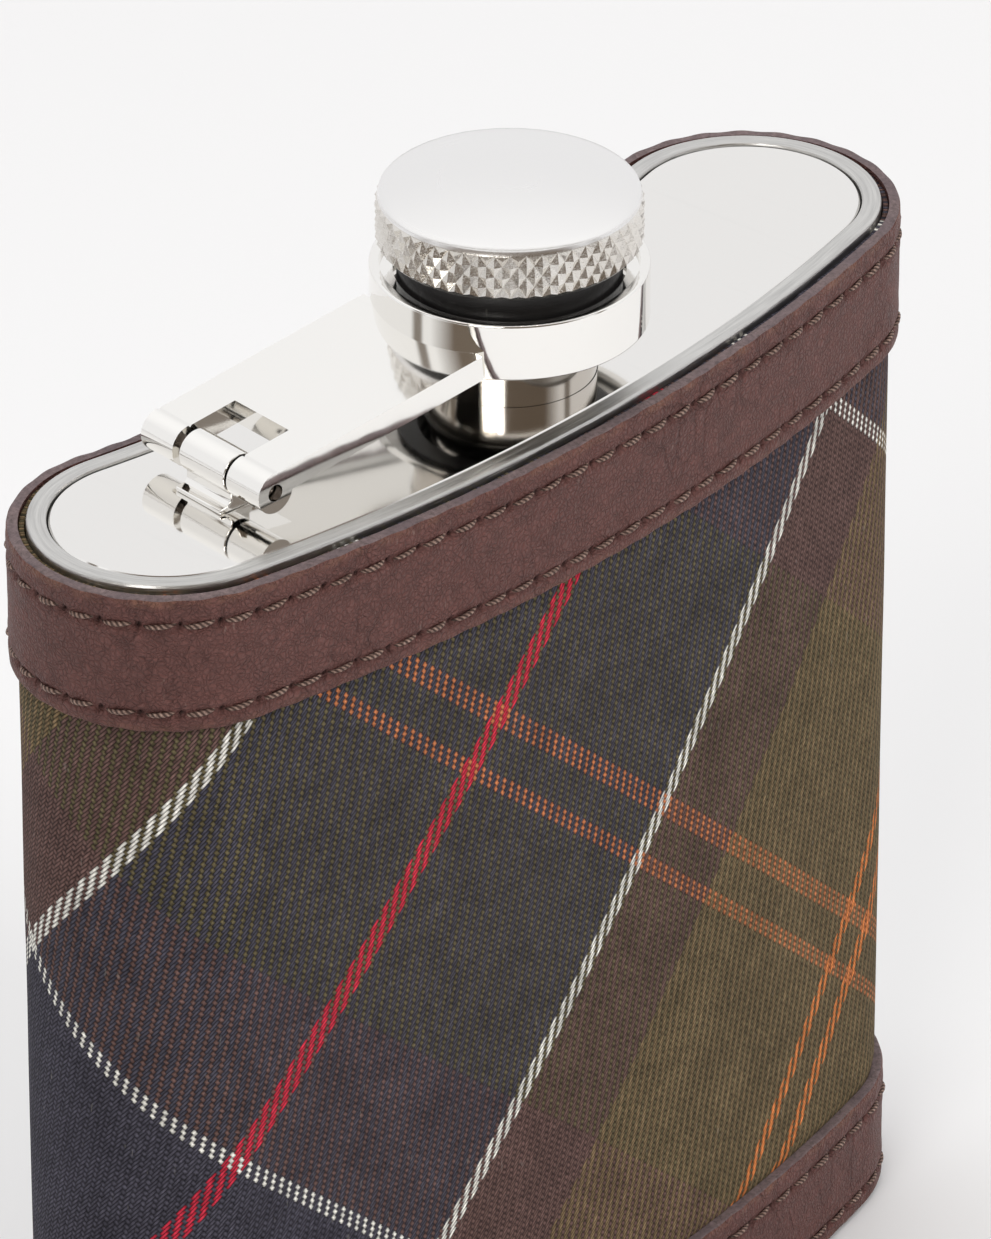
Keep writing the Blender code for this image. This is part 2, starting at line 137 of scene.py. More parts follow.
def roundCorners(bm, verts, radius, segments=3):
    if radius:
        bmesh.ops.bevel(
            bm, geom=verts, offset=radius, offset_type="OFFSET", segments=segments,
            profile=0.5, affect="VERTICES", material=-1,
        )


def softenEdges(bm, width, segments=2, angle=35):
    # Rounds every edge that is sharper than the angle.
    sharp = [e for e in bm.edges if len(e.link_faces) == 2 and e.calc_face_angle() > math.radians(angle)]
    bmesh.ops.bevel(
        bm, geom=sharp, offset=width, offset_type="OFFSET", segments=segments, profile=0.5,
        affect="EDGES", clamp_overlap=True, material=-1,
    )


def meshPiece(name, bm, looks, sharp=32, even=True, recalc=True):
    if recalc:
        bmesh.ops.recalc_face_normals(bm, faces=bm.faces)
    mesh = bpy.data.meshes.new(name)
    bm.to_mesh(mesh)
    bm.free()
    mesh.shade_smooth()
    mesh.set_sharp_from_angle(angle=math.radians(sharp))
    for look in looks:
        mesh.materials.append(look)
    piece = bpy.data.objects.new(name, mesh)
    bpy.context.scene.collection.objects.link(piece)
    if even:
        shading = piece.modifiers.new("evenShading", "WEIGHTED_NORMAL")
        shading.keep_sharp = True
    return piece


def turnedMesh(points, steps, radius=0.0, closed=True, segments=3):
    # The profile's (radius, height) points turn about the neck's axis, heights above the plate.
    bm = bmesh.new()
    verts, _ = drawLine(bm, [(r, 0, z) for r, z in points], closed)
    roundCorners(bm, [v for v in verts if v.co.x > 1e-6], radius, segments)
    bmesh.ops.spin(
        bm, geom=bm.verts[:] + bm.edges[:], cent=(0, 0, 0), axis=(0, 0, 1), angle=turn,
        steps=steps, use_merge=True,
    )
    bmesh.ops.remove_doubles(bm, verts=bm.verts, dist=1e-6)
    bmesh.ops.translate(bm, verts=bm.verts, vec=neckAxis)
    return bm


def place(piece, body, node, slotName):
    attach(piece, body)
    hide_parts(node)
    return piece


def withCuts(piece, cutters, joined=()):
    # Joins and cuts with throwaway helpers, and keeps only the finished mesh.
    for helper in joined:
        step = piece.modifiers.new("join", "BOOLEAN")
        step.operation, step.object = "UNION", helper
    for helper in cutters:
        step = piece.modifiers.new("cut", "BOOLEAN")
        step.operation, step.object = "DIFFERENCE", helper
    bpy.context.view_layer.update()
    done = bpy.data.meshes.new_from_object(piece.evaluated_get(bpy.context.evaluated_depsgraph_get()))
    piece.modifiers.clear()
    for helper in (*cutters, *joined):
        bpy.data.objects.remove(helper, do_unlink=True)
    bm = bmesh.new()
    bm.from_mesh(done)
    bpy.data.meshes.remove(done)
    bpy.data.objects.remove(piece, do_unlink=True)
    return bm


# Node helpers and shared groups

def addNode(tree, kind, inputs=None, **settings):
    node = tree.nodes.new(kind)
    for key, value in settings.items():
        setattr(node, key, value)
    for key, value in (inputs or {}).items():
        if isinstance(value, bpy.types.NodeSocket):
            tree.links.new(value, node.inputs[key])
        else:
            node.inputs[key].default_value = value
    return node


def calc(tree, operation, *values, clamp=False):
    inputs = dict(enumerate(values))
    return addNode(tree, "ShaderNodeMath", inputs, operation=operation, use_clamp=clamp).outputs[0]


def blendColour(tree, factor, one, other, mode="MIX"):
    node = addNode(tree, "ShaderNodeMix", data_type="RGBA", blend_type=mode)
    for socket, value in zip((node.inputs[0], node.inputs[6], node.inputs[7]), (factor, one, other)):
        if isinstance(value, bpy.types.NodeSocket):
            tree.links.new(value, socket)
        else:
            socket.default_value = value if socket == node.inputs[0] or len(value) == 4 else (*value, 1)
    return node.outputs[2]


def spread(tree, value, low, high, toLow=0.0, toHigh=1.0):
    inputs = {0: value, 1: low, 2: high, 3: toLow, 4: toHigh}
    return addNode(tree, "ShaderNodeMapRange", inputs, clamp=True).outputs[0]


def noiseOf(tree, where, scale, detail=2.0, roughness=0.5, distortion=0.0):
    inputs = {"Vector": where, "Scale": scale, "Detail": detail, "Roughness": roughness}
    return addNode(tree, "ShaderNodeTexNoise", {**inputs, "Distortion": distortion}).outputs[0]


def newGroup(name, inputs, outputs):
    tree = bpy.data.node_groups.new(name, "ShaderNodeTree")
    for socketName, kind, value in inputs:
        socket = tree.interface.new_socket(socketName, in_out="INPUT", socket_type="NodeSocket" + kind)
        if value is not None:
            socket.default_value = value
    for socketName, kind in outputs:
        tree.interface.new_socket(socketName, in_out="OUTPUT", socket_type="NodeSocket" + kind)
    return tree, tree.nodes.new("NodeGroupInput").outputs, tree.nodes.new("NodeGroupOutput").inputs


def useGroup(tree, group, **inputs):
    return addNode(tree, "ShaderNodeGroup", inputs, node_tree=group).outputs


def rampOf(tree, value, stops, interpolation="LINEAR"):
    # Each stop is a place from 0 to 1, and its colour.
    ramp = addNode(tree, "ShaderNodeValToRGB", {0: value})
    ramp.color_ramp.interpolation = interpolation
    elements = ramp.color_ramp.elements
    while len(elements) < len(stops):
        elements.new(0.5)
    for element, (position, _) in zip(elements, stops):
        element.position = position
    for element, (_, colour) in zip(elements, stops):
        element.color = (*colour, 1)
    return ramp.outputs[0]


def newLook(name, **values):
    look = bpy.data.materials.new(name)
    look.use_nodes = True
    tree = look.node_tree
    shader = tree.nodes["Principled BSDF"]
    for key, value in values.items():
        socket = shader.inputs[key.replace("_", " ")]
        socket.default_value = (*value, 1) if isinstance(value, tuple) and len(value) == 3 else value
    return look, tree, shader.inputs


def objectPlace(tree):
    return addNode(tree, "ShaderNodeTexCoord").outputs["Object"]


def bumpOf(tree, height, distance, strength=1.0):
    inputs = {"Height": height, "Distance": distance, "Strength": strength}
    return addNode(tree, "ShaderNodeBump", inputs).outputs[0]


def makeHandlingGroup():
    # Smears and fine scratches that handling leaves on polished metal.
    inputs = [("Place", "Vector", None), ("Smear Size", "Float", 120.0), ("Scratch Size", "Float", 900.0)]
    tree, given, result = newGroup("handling", inputs, [("Smear", "Float"), ("Scratch", "Float")])
    smear = noiseOf(tree, given["Place"], given["Smear Size"], 4.0, 0.6, 0.4)
    tree.links.new(spread(tree, smear, 0.35, 0.75), result["Smear"])
    long = addNode(tree, "ShaderNodeMapping", {"Vector": given["Place"], "Rotation": (0.3, 0.2, 0.7),
                                               "Scale": (1.0, 0.03, 1.0)}).outputs[0]
    scratch = noiseOf(tree, long, given["Scratch Size"], 3.0, 0.7)
    tree.links.new(spread(tree, scratch, 0.6, 0.8), result["Scratch"])
    return tree


def makeBrushGroup():
    # Streaks left by brushing. The place is stretched along the brush's way before it comes in.
    inputs = [("Place", "Vector", None), ("Fineness", "Float", 4000.0)]
    tree, given, result = newGroup("brushed", inputs, [("Streak", "Float")])
    tree.links.new(noiseOf(tree, given["Place"], given["Fineness"], 3.0, 0.65), result["Streak"])
    return tree


def makeGrainGroup():
    # Leather grain: small cells between creases, broader wrinkles, and colour that varies over the hide. The
    # Crease output also serves as painted shade in the creases and between the cells.
    inputs = [("Place", "Vector", None), ("Cell Size", "Float", 2300.0), ("Crease", "Float", 0.5)]
    outputs = [("Height", "Float"), ("Crease", "Float"), ("Mottle", "Float")]
    tree, given, result = newGroup("leatherGrain", inputs, outputs)
    warp = addNode(tree, "ShaderNodeTexNoise", {"Vector": given["Place"], "Scale": 700.0, "Detail": 2.0})
    small = addNode(tree, "ShaderNodeVectorMath", {0: warp.outputs["Color"], 3: 0.0011}, operation="SCALE")
    moved = addNode(tree, "ShaderNodeVectorMath", {0: given["Place"], 1: small.outputs[0]}, operation="ADD")
    cells = addNode(tree, "ShaderNodeTexVoronoi", {"Vector": moved.outputs[0], "Scale": given["Cell Size"]},
                    feature="DISTANCE_TO_EDGE")
    cellDome = spread(tree, cells.outputs[0], 0.0, 0.28)
    tilted = addNode(tree, "ShaderNodeMapping", {"Vector": moved.outputs[0], "Rotation": (0.5, 0.4, 0.2),
                                                 "Scale": (1.0, 1.0, 0.55)}).outputs[0]
    wrinkles = addNode(tree, "ShaderNodeTexVoronoi", {"Vector": tilted, "Scale": 430.0},
                       feature="DISTANCE_TO_EDGE")
    line = spread(tree, wrinkles.outputs[0], 0.0, 0.10, 1.0, 0.0)
    patch = spread(tree, noiseOf(tree, given["Place"], 130.0, 3.0), 0.45, 0.62)
    crease = calc(tree, "MULTIPLY", calc(tree, "MULTIPLY", line, patch), given["Crease"])
    rough = noiseOf(tree, given["Place"], 3500.0, 3.0, 0.6)
    body = calc(tree, "MULTIPLY_ADD", cellDome, 0.45, calc(tree, "MULTIPLY", rough, 0.5))
    tree.links.new(calc(tree, "SUBTRACT", body, crease), result["Height"])
    # the valleys between the cells join the creases; in the colour this is painted shade
    between = calc(tree, "MULTIPLY", spread(tree, cellDome, 0, 0.5, 1, 0), 0.5)
    tree.links.new(calc(tree, "ADD", crease, between, clamp=True), result["Crease"])
    tree.links.new(noiseOf(tree, given["Place"], 600.0, 6.0, 0.8), result["Mottle"])
    return tree


def makeTwillGroup():
    # Two-over-two twill. Warp counts the threads across the cloth, and Weft the rows up it.
    inputs = [("Warp", "Float", 0.0), ("Weft", "Float", 0.0)]
    outputs = [("Weft Shows", "Float"), ("Height", "Float"), ("Shade", "Float")]
    tree, given, result = newGroup("twill", inputs, outputs)
    warp, weft = given["Warp"], given["Weft"]
    inWarp = calc(tree, "SUBTRACT", calc(tree, "FRACT", warp), 0.5)
    inWeft = calc(tree, "SUBTRACT", calc(tree, "FRACT", weft), 0.5)
    # How far along its float each thread is: 0 at the middle and 1 where it dives
    warpFloat = calc(tree, "PINGPONG", calc(tree, "ADD", calc(tree, "FLOOR", warp), weft), 2.0)
    weftFloat = calc(tree, "SUBTRACT", 2.0, calc(
        tree, "PINGPONG", calc(tree, "ADD", warp, calc(tree, "FLOOR", weft)), 2.0))
    warpBack = calc(tree, "MULTIPLY_ADD", calc(tree, "MULTIPLY", inWarp, inWarp), -3.0, 1.0)
    warpBend = calc(tree, "MULTIPLY_ADD", calc(tree, "MULTIPLY", warpFloat, warpFloat), -0.5, 1.0)
    weftBack = calc(tree, "MULTIPLY_ADD", calc(tree, "MULTIPLY", inWeft, inWeft), -3.2, 1.0)
    weftBend = calc(tree, "MULTIPLY_ADD", calc(tree, "MULTIPLY", weftFloat, weftFloat), -0.8, 1.0)
    shows = spread(tree, warpFloat, 1.12, 1.3)
    warpShade = calc(tree, "MULTIPLY", warpBack, warpBend)
    weftShade = calc(tree, "MULTIPLY", calc(tree, "MULTIPLY", weftBack, weftBend), 0.95)
    keep = calc(tree, "SUBTRACT", 1.0, shows)
    weftPart = calc(tree, "MULTIPLY", weftShade, shows)
    shade = calc(tree, "MULTIPLY_ADD", warpShade, keep, weftPart)
    high = calc(tree, "MULTIPLY_ADD", calc(tree, "ADD", warpShade, 0.35), keep, weftPart)
    tree.links.new(shows, result["Weft Shows"])
    tree.links.new(high, result["Height"])
    tree.links.new(calc(tree, "MAXIMUM", shade, 0.0), result["Shade"])
    return tree


def makeLintGroup():
    # Sparse pale fibres and dust specks.
    tree, given, result = newGroup("lint", [("Place", "Vector", None), ("Amount", "Float", 0.3)],
                                   [("Lint", "Float")])
    long = addNode(tree, "ShaderNodeMapping", {"Vector": given["Place"], "Rotation": (0.2, 0.9, 0.4),
                                               "Scale": (1.0, 1.0, 0.25)}).outputs[0]
    specks = noiseOf(tree, long, 2600.0, 1.0, 0.4, 0.6)
    mask = spread(tree, specks, 0.74, 0.80)
    tree.links.new(calc(tree, "MULTIPLY", mask, given["Amount"]), result["Lint"])
    return tree


handling = makeHandlingGroup()
brushed = makeBrushGroup()
leatherGrain = makeGrainGroup()
twill = makeTwillGroup()
lint = makeLintGroup()
print("node groups ready")


# Finishes

def mirrorSteel(name, colour=(0.86, 0.845, 0.82), roughness=0.045, wave=0.00002):
    look, tree, shader = newLook(name, Base_Color=colour, Metallic=1.0, Roughness=roughness)
    where = objectPlace(tree)
    marks = useGroup(tree, handling, Place=where)
    tree.links.new(spread(tree, marks["Smear"], 0, 1, roughness, roughness + 0.05), shader["Roughness"])
    tree.links.new(blendColour(tree, calc(tree, "MULTIPLY", marks["Scratch"], 0.12), colour,
                               tuple(c * 0.8 for c in colour)), shader["Base Color"])
    swell = noiseOf(tree, where, 90.0, 1.0)
    fine = calc(tree, "MULTIPLY_ADD", marks["Scratch"], 0.05, swell)
    tree.links.new(bumpOf(tree, fine, wave), shader["Normal"])
    return look


def brushedSteel(name, stretch, colour=(0.70, 0.69, 0.67), roughness=0.36, along=None):
    look, tree, shader = newLook(name, Base_Color=colour, Metallic=1.0, Roughness=roughness)
    if along:   # the piece's own attribute, already drawn out along the brush's way
        base = addNode(tree, "ShaderNodeAttribute", attribute_name=along).outputs["Vector"]
    else:
        base = objectPlace(tree)
    where = addNode(tree, "ShaderNodeMapping", {"Vector": base, "Scale": stretch}).outputs[0]
    streak = useGroup(tree, brushed, Place=where)["Streak"]
    tree.links.new(spread(tree, streak, 0.3, 0.7, roughness - 0.07, roughness + 0.1), shader["Roughness"])
    tree.links.new(blendColour(tree, spread(tree, streak, 0.3, 0.7), tuple(c * 0.7 for c in colour), colour),
                   shader["Base Color"])
    tree.links.new(bumpOf(tree, streak, 0.00007), shader["Normal"])
    return look


def satinKnobLook():
    colour = (0.86, 0.85, 0.84)
    look, tree, shader = newLook("satinKnobSteel", Base_Color=colour, Metallic=1.0, Roughness=0.24)
    where = objectPlace(tree)
    centred = addNode(tree, "ShaderNodeVectorMath", {0: where, 1: neckAxis}, operation="SUBTRACT").outputs[0]
    apart = addNode(tree, "ShaderNodeSeparateXYZ", {0: centred}).outputs
    distance = calc(tree, "SQRT", calc(tree, "ADD", calc(tree, "POWER", apart[0], 2.0),
                                       calc(tree, "POWER", apart[1], 2.0)))
    rings = addNode(tree, "ShaderNodeCombineXYZ", {0: distance, 2: calc(tree, "MULTIPLY", apart[2], 0.2)})
    streak = useGroup(tree, brushed, Place=rings.outputs[0], Fineness=5200.0)["Streak"]
    marks = useGroup(tree, handling, Place=where)
    rough = calc(tree, "MULTIPLY_ADD", marks["Smear"], 0.04, spread(tree, streak, 0.3, 0.7, 0.23, 0.255))
    tree.links.new(rough, shader["Roughness"])
    tree.links.new(bumpOf(tree, streak, 0.0000005), shader["Normal"])
    return look


def knurlLook():
    colour = (0.80, 0.775, 0.735)
    look, tree, shader = newLook("knurledSteel", Base_Color=colour, Metallic=1.0, Roughness=0.2)
    where = objectPlace(tree)
    marks = useGroup(tree, handling, Place=where)
    fine = noiseOf(tree, where, 6000.0, 2.0)
    tree.links.new(spread(tree, fine, 0.3, 0.7, 0.14, 0.3), shader["Roughness"])
    tree.links.new(blendColour(tree, calc(tree, "MULTIPLY", marks["Smear"], 0.5), colour, (0.6, 0.56, 0.51)),
                   shader["Base Color"])
    tree.links.new(bumpOf(tree, fine, 0.00001), shader["Normal"])
    return look


def mouldingLook():
    look, tree, shader = newLook("blackMoulding", Base_Color=(0.012, 0.011, 0.011), Roughness=0.42)
    where = objectPlace(tree)
    pits = noiseOf(tree, where, 3000.0, 3.0)
    tree.links.new(spread(tree, pits, 0.3, 0.7, 0.34, 0.52), shader["Roughness"])
    dust = useGroup(tree, lint, Place=where, Amount=0.15)["Lint"]
    tree.links.new(blendColour(tree, dust, (0.012, 0.011, 0.011), (0.3, 0.28, 0.26)), shader["Base Color"])
    tree.links.new(bumpOf(tree, pits, 0.00002), shader["Normal"])
    return look


def rubberLook():
    look, tree, shader = newLook("sealRubber", Base_Color=(0.62, 0.6, 0.56), Roughness=0.7)
    where = objectPlace(tree)
    marks = noiseOf(tree, where, 500.0, 4.0)
    tree.links.new(blendColour(tree, spread(tree, marks, 0.35, 0.7), (0.62, 0.6, 0.56), (0.5, 0.47, 0.43)),
                   shader["Base Color"])
    tree.links.new(bumpOf(tree, noiseOf(tree, where, 5000.0), 0.00002), shader["Normal"])
    return look


leather = {
    "colour": (0.128, 0.053, 0.046),
    "paintedShade": (0.045, 0.018, 0.016),
    "wornAndHighlight": (0.22, 0.105, 0.07),
    "edge": (0.20, 0.145, 0.145),
}


def leatherLook():
    look, tree, shader = newLook("brownLeather", Roughness=0.55, Specular_IOR_Level=0.3)
    where = objectPlace(tree)
    grain = useGroup(tree, leatherGrain, Place=where)
    wearAndHighlight = addNode(tree, "ShaderNodeAttribute", attribute_name="wearAndHighlight").outputs["Fac"]
    pit = addNode(tree, "ShaderNodeAttribute", attribute_name="pit").outputs["Fac"]
    darker, lighter = (tuple(c * share for c in leather["colour"]) for share in (0.72, 1.30))
    tone = blendColour(tree, spread(tree, grain["Mottle"], 0.3, 0.7), darker, lighter)
    # darker in the creases and between the grain cells: painted shade
    tone = blendColour(tree, calc(tree, "MULTIPLY", grain["Crease"], 0.7), tone, leather["paintedShade"])
    patchy = spread(tree, noiseOf(tree, where, 420.0, 4.0, 0.7), 0.42, 0.66)
    # lighter at the band edges: partly wear, partly painted highlight
    tone = blendColour(tree, calc(tree, "MULTIPLY", wearAndHighlight, patchy), tone, leather["wornAndHighlight"])
    # nearly black round the stitch holes: painted shade
    tone = blendColour(tree, pit, tone, tuple(c * 0.25 for c in leather["paintedShade"]))
    specks = useGroup(tree, lint, Place=where, Amount=0.25)["Lint"]
    tree.links.new(blendColour(tree, specks, tone, (0.4, 0.3, 0.26)), shader["Base Color"])
    rough = spread(tree, grain["Mottle"], 0.3, 0.7, 0.47, 0.6)
    tree.links.new(calc(tree, "MULTIPLY_ADD", grain["Crease"], 0.15, rough), shader["Roughness"])
    tree.links.new(bumpOf(tree, grain["Height"], 0.00028), shader["Normal"])
    return look


def leatherEdgeLook():
    # The raw cut edge: matted fibres with traces of glue.
    look, tree, shader = newLook("leatherCutEdge", Roughness=0.8)
    where = objectPlace(tree)
    fibres = noiseOf(tree, where, 2200.0, 5.0, 0.7, 0.5)
    broad = spread(tree, noiseOf(tree, where, 300.0, 3.0), 0.4, 0.65)
    tone = blendColour(tree, spread(tree, fibres, 0.35, 0.65), tuple(c * 0.45 for c in leather["edge"]),
                       leather["edge"])
    tone = blendColour(tree, calc(tree, "MULTIPLY", broad, 0.5), tone, (0.10, 0.075, 0.085))
    tree.links.new(tone, shader["Base Color"])
    tree.links.new(bumpOf(tree, fibres, 0.0001), shader["Normal"])
    return look


stitch = {
    "length": 0.80, "thick": 0.25 * mm, "flat": 0.8, "bow": 0.13 * mm, "dive": 0.36 * mm, "lean": 0.13 * mm,
    "sides": 6, "rings": 8, "plies": 6,
}


def threadLook():
    look, tree, shader = newLook("waxedThread", Roughness=0.6, Specular_IOR_Level=0.3)
    where = objectPlace(tree)
    fibres = noiseOf(tree, where, 3800.0, 4.0, 0.6)
    # Two plies laid round each other: the section's own place gives the angle, and the length turns it. The
    # grooves between the plies are painted dark: painted shade.
    ply = addNode(tree, "ShaderNodeAttribute", attribute_name="ply").outputs["Vector"]
    ply = addNode(tree, "ShaderNodeSeparateXYZ", {0: ply}).outputs
    angle = calc(tree, "MULTIPLY", calc(tree, "ARCTAN2", ply[2], ply[1]), 2.0)
    plyGrooveShade = calc(tree, "COSINE", calc(tree, "MULTIPLY_ADD", ply[0], stitch["plies"] * turn, angle))
    plyGrooveShade = spread(tree, plyGrooveShade, -1, 0.7)
    tone = blendColour(tree, spread(tree, fibres, 0.3, 0.7), (0.15, 0.092, 0.075), (0.44, 0.305, 0.25))
    tone = blendColour(tree, plyGrooveShade, (0.055, 0.030, 0.024), tone)
    # near black where the thread dives into the leather: painted shade
    diveShade = addNode(tree, "ShaderNodeAttribute", attribute_name="dive").outputs["Fac"]
    tree.links.new(blendColour(tree, diveShade, tone, (0.02, 0.011, 0.009)), shader["Base Color"])
    tree.links.new(bumpOf(tree, calc(tree, "MULTIPLY_ADD", fibres, 0.4, plyGrooveShade), 0.00012), shader["Normal"])
    return look


tartan = {
    "bias": math.radians(49),    # the warp's lean from level
    "warpPitch": 0.25, "weftPitch": 0.4615,      # mm
    "warpRepeat": 528, "weftRepeat": 276,        # threads, and so are the stripes below
    "warpStart": -336, "weftStart": 10,
    "navy": (0.078, 0.074, 0.098),
    "purple": (0.158, 0.094, 0.084),
    "olive": (0.235, 0.165, 0.090),
    "green": (0.135, 0.112, 0.062),
    "white": (0.90, 0.88, 0.82),
    "red": (0.66, 0.04, 0.075),
    "orange": (0.80, 0.27, 0.085),
    "rust": (0.56, 0.20, 0.085),
}
# Each stripe: the thread it starts at, and its colour. The last runs to the repeat.
warpStripes = (
    (0, "white"), (6, "navy"), (100, "red"), (109, "navy"), (206, "white"), (212, "purple"),
    (257, "olive"), (355, "orange"), (361, "olive"), (374, "orange"), (380, "olive"), (486, "purple"),
)
weftStripes = (
    (0, "white"), (3, "purple"), (33, "green"), (78, "rust"), (81, "green"), (89, "rust"),
    (92, "green"), (138, "purple"), (167, "white"), (170, "navy"), (221, "red"), (225, "navy"),
)


def stripeRamp(tree, thread, start, repeat, stripes):
    # The colour of one whole-numbered thread, taken from the middle of its place in the repeat.
    place = calc(tree, "ADD", calc(tree, "SUBTRACT", thread, start), 0.5)
    inRepeat = calc(tree, "FRACT", calc(tree, "DIVIDE", place, repeat))
    stops = [(begin / repeat, tartan[colour]) for begin, colour in stripes]
    return rampOf(tree, inRepeat, stops, "CONSTANT")


def clothLook():
    look, tree, shader = newLook("tartanCloth", Roughness=0.9, Specular_IOR_Level=0.08, Sheen_Weight=0.02)
    uv = addNode(tree, "ShaderNodeUVMap", uv_map="cloth").outputs[0]
    apart = addNode(tree, "ShaderNodeSeparateXYZ", {0: uv}).outputs
    where = objectPlace(tree)
    drift = calc(tree, "SUBTRACT", noiseOf(tree, where, 45.0, 2.0), 0.5)
    fine = calc(tree, "SUBTRACT", noiseOf(tree, where, 900.0, 2.0), 0.5)
    # The cloth's own axes, in mm
    along, up = (calc(tree, "MULTIPLY", apart[i], 1000.0) for i in (0, 1))
    sine, cosine = math.sin(tartan["bias"]), math.cos(tartan["bias"])
    across = calc(tree, "MULTIPLY_ADD", along, sine, calc(tree, "MULTIPLY", up, -cosine))
    rise = calc(tree, "MULTIPLY_ADD", along, cosine, calc(tree, "MULTIPLY", up, sine))
    counts = []
    for place, pitch, wander in ((across, tartan["warpPitch"], 0.5), (rise, tartan["weftPitch"], 0.35)):
        moved = calc(tree, "MULTIPLY_ADD", drift, wander, calc(tree, "MULTIPLY_ADD", fine, 0.12, place))
        counts.append(calc(tree, "DIVIDE", moved, pitch))
    warpThread, weftThread = (calc(tree, "FLOOR", count) for count in counts)
    weave = useGroup(tree, twill, Warp=counts[0], Weft=counts[1])
    warpColour = stripeRamp(tree, warpThread, tartan["warpStart"], tartan["warpRepeat"], warpStripes)
    weftColour = stripeRamp(tree, weftThread, tartan["weftStart"], tartan["weftRepeat"], weftStripes)
    tone = blendColour(tree, weave["Weft Shows"], warpColour, weftColour)
    # Yarn colour varies from thread to thread and along each one.
    onYarn = calc(tree, "MULTIPLY", counts[1], 0.6)
    yarnPlace = addNode(tree, "ShaderNodeCombineXYZ", {0: warpThread, 1: onYarn}).outputs[0]
    yarn = spread(tree, noiseOf(tree, yarnPlace, 1.3, 3.0, 0.65), 0.25, 0.75, 0.5, 1.5)
    patch = spread(tree, noiseOf(tree, where, 240.0, 5.0, 0.75), 0.3, 0.7, 0.78, 1.22)
    light = calc(tree, "MULTIPLY", calc(tree, "MULTIPLY", yarn, patch),
                 calc(tree, "MULTIPLY_ADD", weave["Shade"], 0.9, 0.1))
    grey = addNode(tree, "ShaderNodeCombineColor", {0: light, 1: light, 2: light}).outputs[0]
    tone = blendColour(tree, 1.0, tone, grey, "MULTIPLY")
    fuzz = useGroup(tree, lint, Place=where, Amount=0.25)["Lint"]
    tone = blendColour(tree, fuzz, tone, (0.3, 0.28, 0.25))
    tree.links.new(tone, shader["Base Color"])
    height = calc(tree, "MULTIPLY_ADD", noiseOf(tree, where, 7000.0, 2.0), 0.25, weave["Height"])
    tree.links.new(bumpOf(tree, height, 0.00012), shader["Normal"])
    return look


plateSteel = mirrorSteel("polishedPlate")
armSteel = mirrorSteel("polishedArm", (0.91, 0.895, 0.865), roughness=0.05, wave=0.000012)
# The neck's steel is darker and browner than the plate's: painted shade and reflection.
neckSteel = mirrorSteel("polishedNeck", (0.62, 0.58, 0.53), roughness=0.11, wave=0.00001)
wallSteel = brushedSteel("brushedRim", (1.0, 1.0, 1.0), along="brush")
baseSteel = brushedSteel("brushedBase", (0.05, 1.0, 1.0))
# The pin's steel is near black: painted shade inside the hinge's holes.
pinSteel = brushedSteel("pinSteel", (1.0, 0.1, 1.0), (0.20, 0.17, 0.15), 0.4)
ringSteel = brushedSteel("ringSteel", (0.1, 0.1, 1.0), (0.6, 0.58, 0.55), 0.3)
knobTop = satinKnobLook()
knobKnurl = knurlLook()
moulding = mouldingLook()
rubber = rubberLook()
hide = leatherLook()
hideEdge = leatherEdgeLook()
thread = threadLook()
cloth = clothLook()
print("finishes ready")


# Steel body
rim = {
    "width": 1.6 * mm, "height": 1.4 * mm, "wall": 0.8 * mm, "outerRound": 0.27 * mm,
    "innerRound": 0.2 * mm, "brushStep": 0.12 * mm,
}


def makeBodyWall():
    top, wall, width, height = wallHigh.z, rim["wall"], rim["width"], rim["height"]
    bm = bmesh.new()
    section = [
        (0, 0), (0, top), (-width, top), (-width, top - height), (-wall, top - height - width + wall),
        (-wall, height + width - wall), (-width, height), (-width, 0),
    ]
    verts, _ = drawLine(bm, [planPoint(0, offset, z) for offset, z in section])
    roundCorners(bm, verts[:2], rim["outerRound"], 5)
    roundCorners(bm, [verts[2], verts[7]], rim["innerRound"], 4)
    sweepRoundPlan(bm, bm.verts[:] + bm.edges[:], 4)
    brush = bm.verts.layers.float_vector.new("brush")
    for v in bm.verts:
        phase, offset, _ = planWhere(v.co)
        v[brush] = (offset, v.co.z, (phase - seamPhase) % stitchTotal * rim["brushStep"])
    return place(meshPiece("steelBody", bm, [wallSteel]), "flask", "body_wall", "brushed_steel")


plates = {"gap": 0.14 * mm, "thickness": 0.8 * mm, "edge": 0.14 * mm, "neckGap": 0.05 * mm}


def makePlate(name, top, holeRadius, look, node, slotName):
    # A swept edge, filled flat above and below, with the neck's hole left open.
    bm = bmesh.new()
    outer, low = -rim["width"] - plates["gap"], top - plates["thickness"]
    edge = plates["edge"]
    section = [(outer - edge, top), (outer, top - edge), (outer, low + edge), (outer - edge, low)]
    verts, _ = drawLine(bm, [planPoint(0, offset, z) for offset, z in section], closed=False)
    sweepRoundPlan(bm, bm.verts[:] + bm.edges[:], 4)
    holes = []
    if holeRadius:
        for z in (top, low):
            ring = bmesh.ops.create_circle(
                bm, segments=96, radius=holeRadius, matrix=Matrix.Translation((neckAxis.x, neckAxis.y, z)))
            holes.append(list({e for v in ring["verts"] for e in v.link_edges}))
    for z in (top, low):
        flat = [e for e in bm.edges if len(e.link_faces) < 2 and all(abs(v.co.z - z) < 1e-6 for v in e.verts)]
        bmesh.ops.triangle_fill(bm, edges=flat, use_beauty=True)
    if holes:
        bmesh.ops.bridge_loops(bm, edges=holes[0] + holes[1])
    return place(meshPiece(name, bm, [look], sharp=25), "flask", node, slotName)


neck = {
    "bore": 5.0 * mm, "root": 6.0 * mm, "shoulder": 4.4 * mm, "chamfer": 0.5 * mm, "lip": 0.35 * mm,
    "pitch": 1.5 * mm, "turns": 3, "stepsPerTurn": 60, "first": 5.5 * mm, "ridge": 0.42 * mm,
    "sunk": 0.2 * mm, "ridgeRound": 0.15 * mm,
}


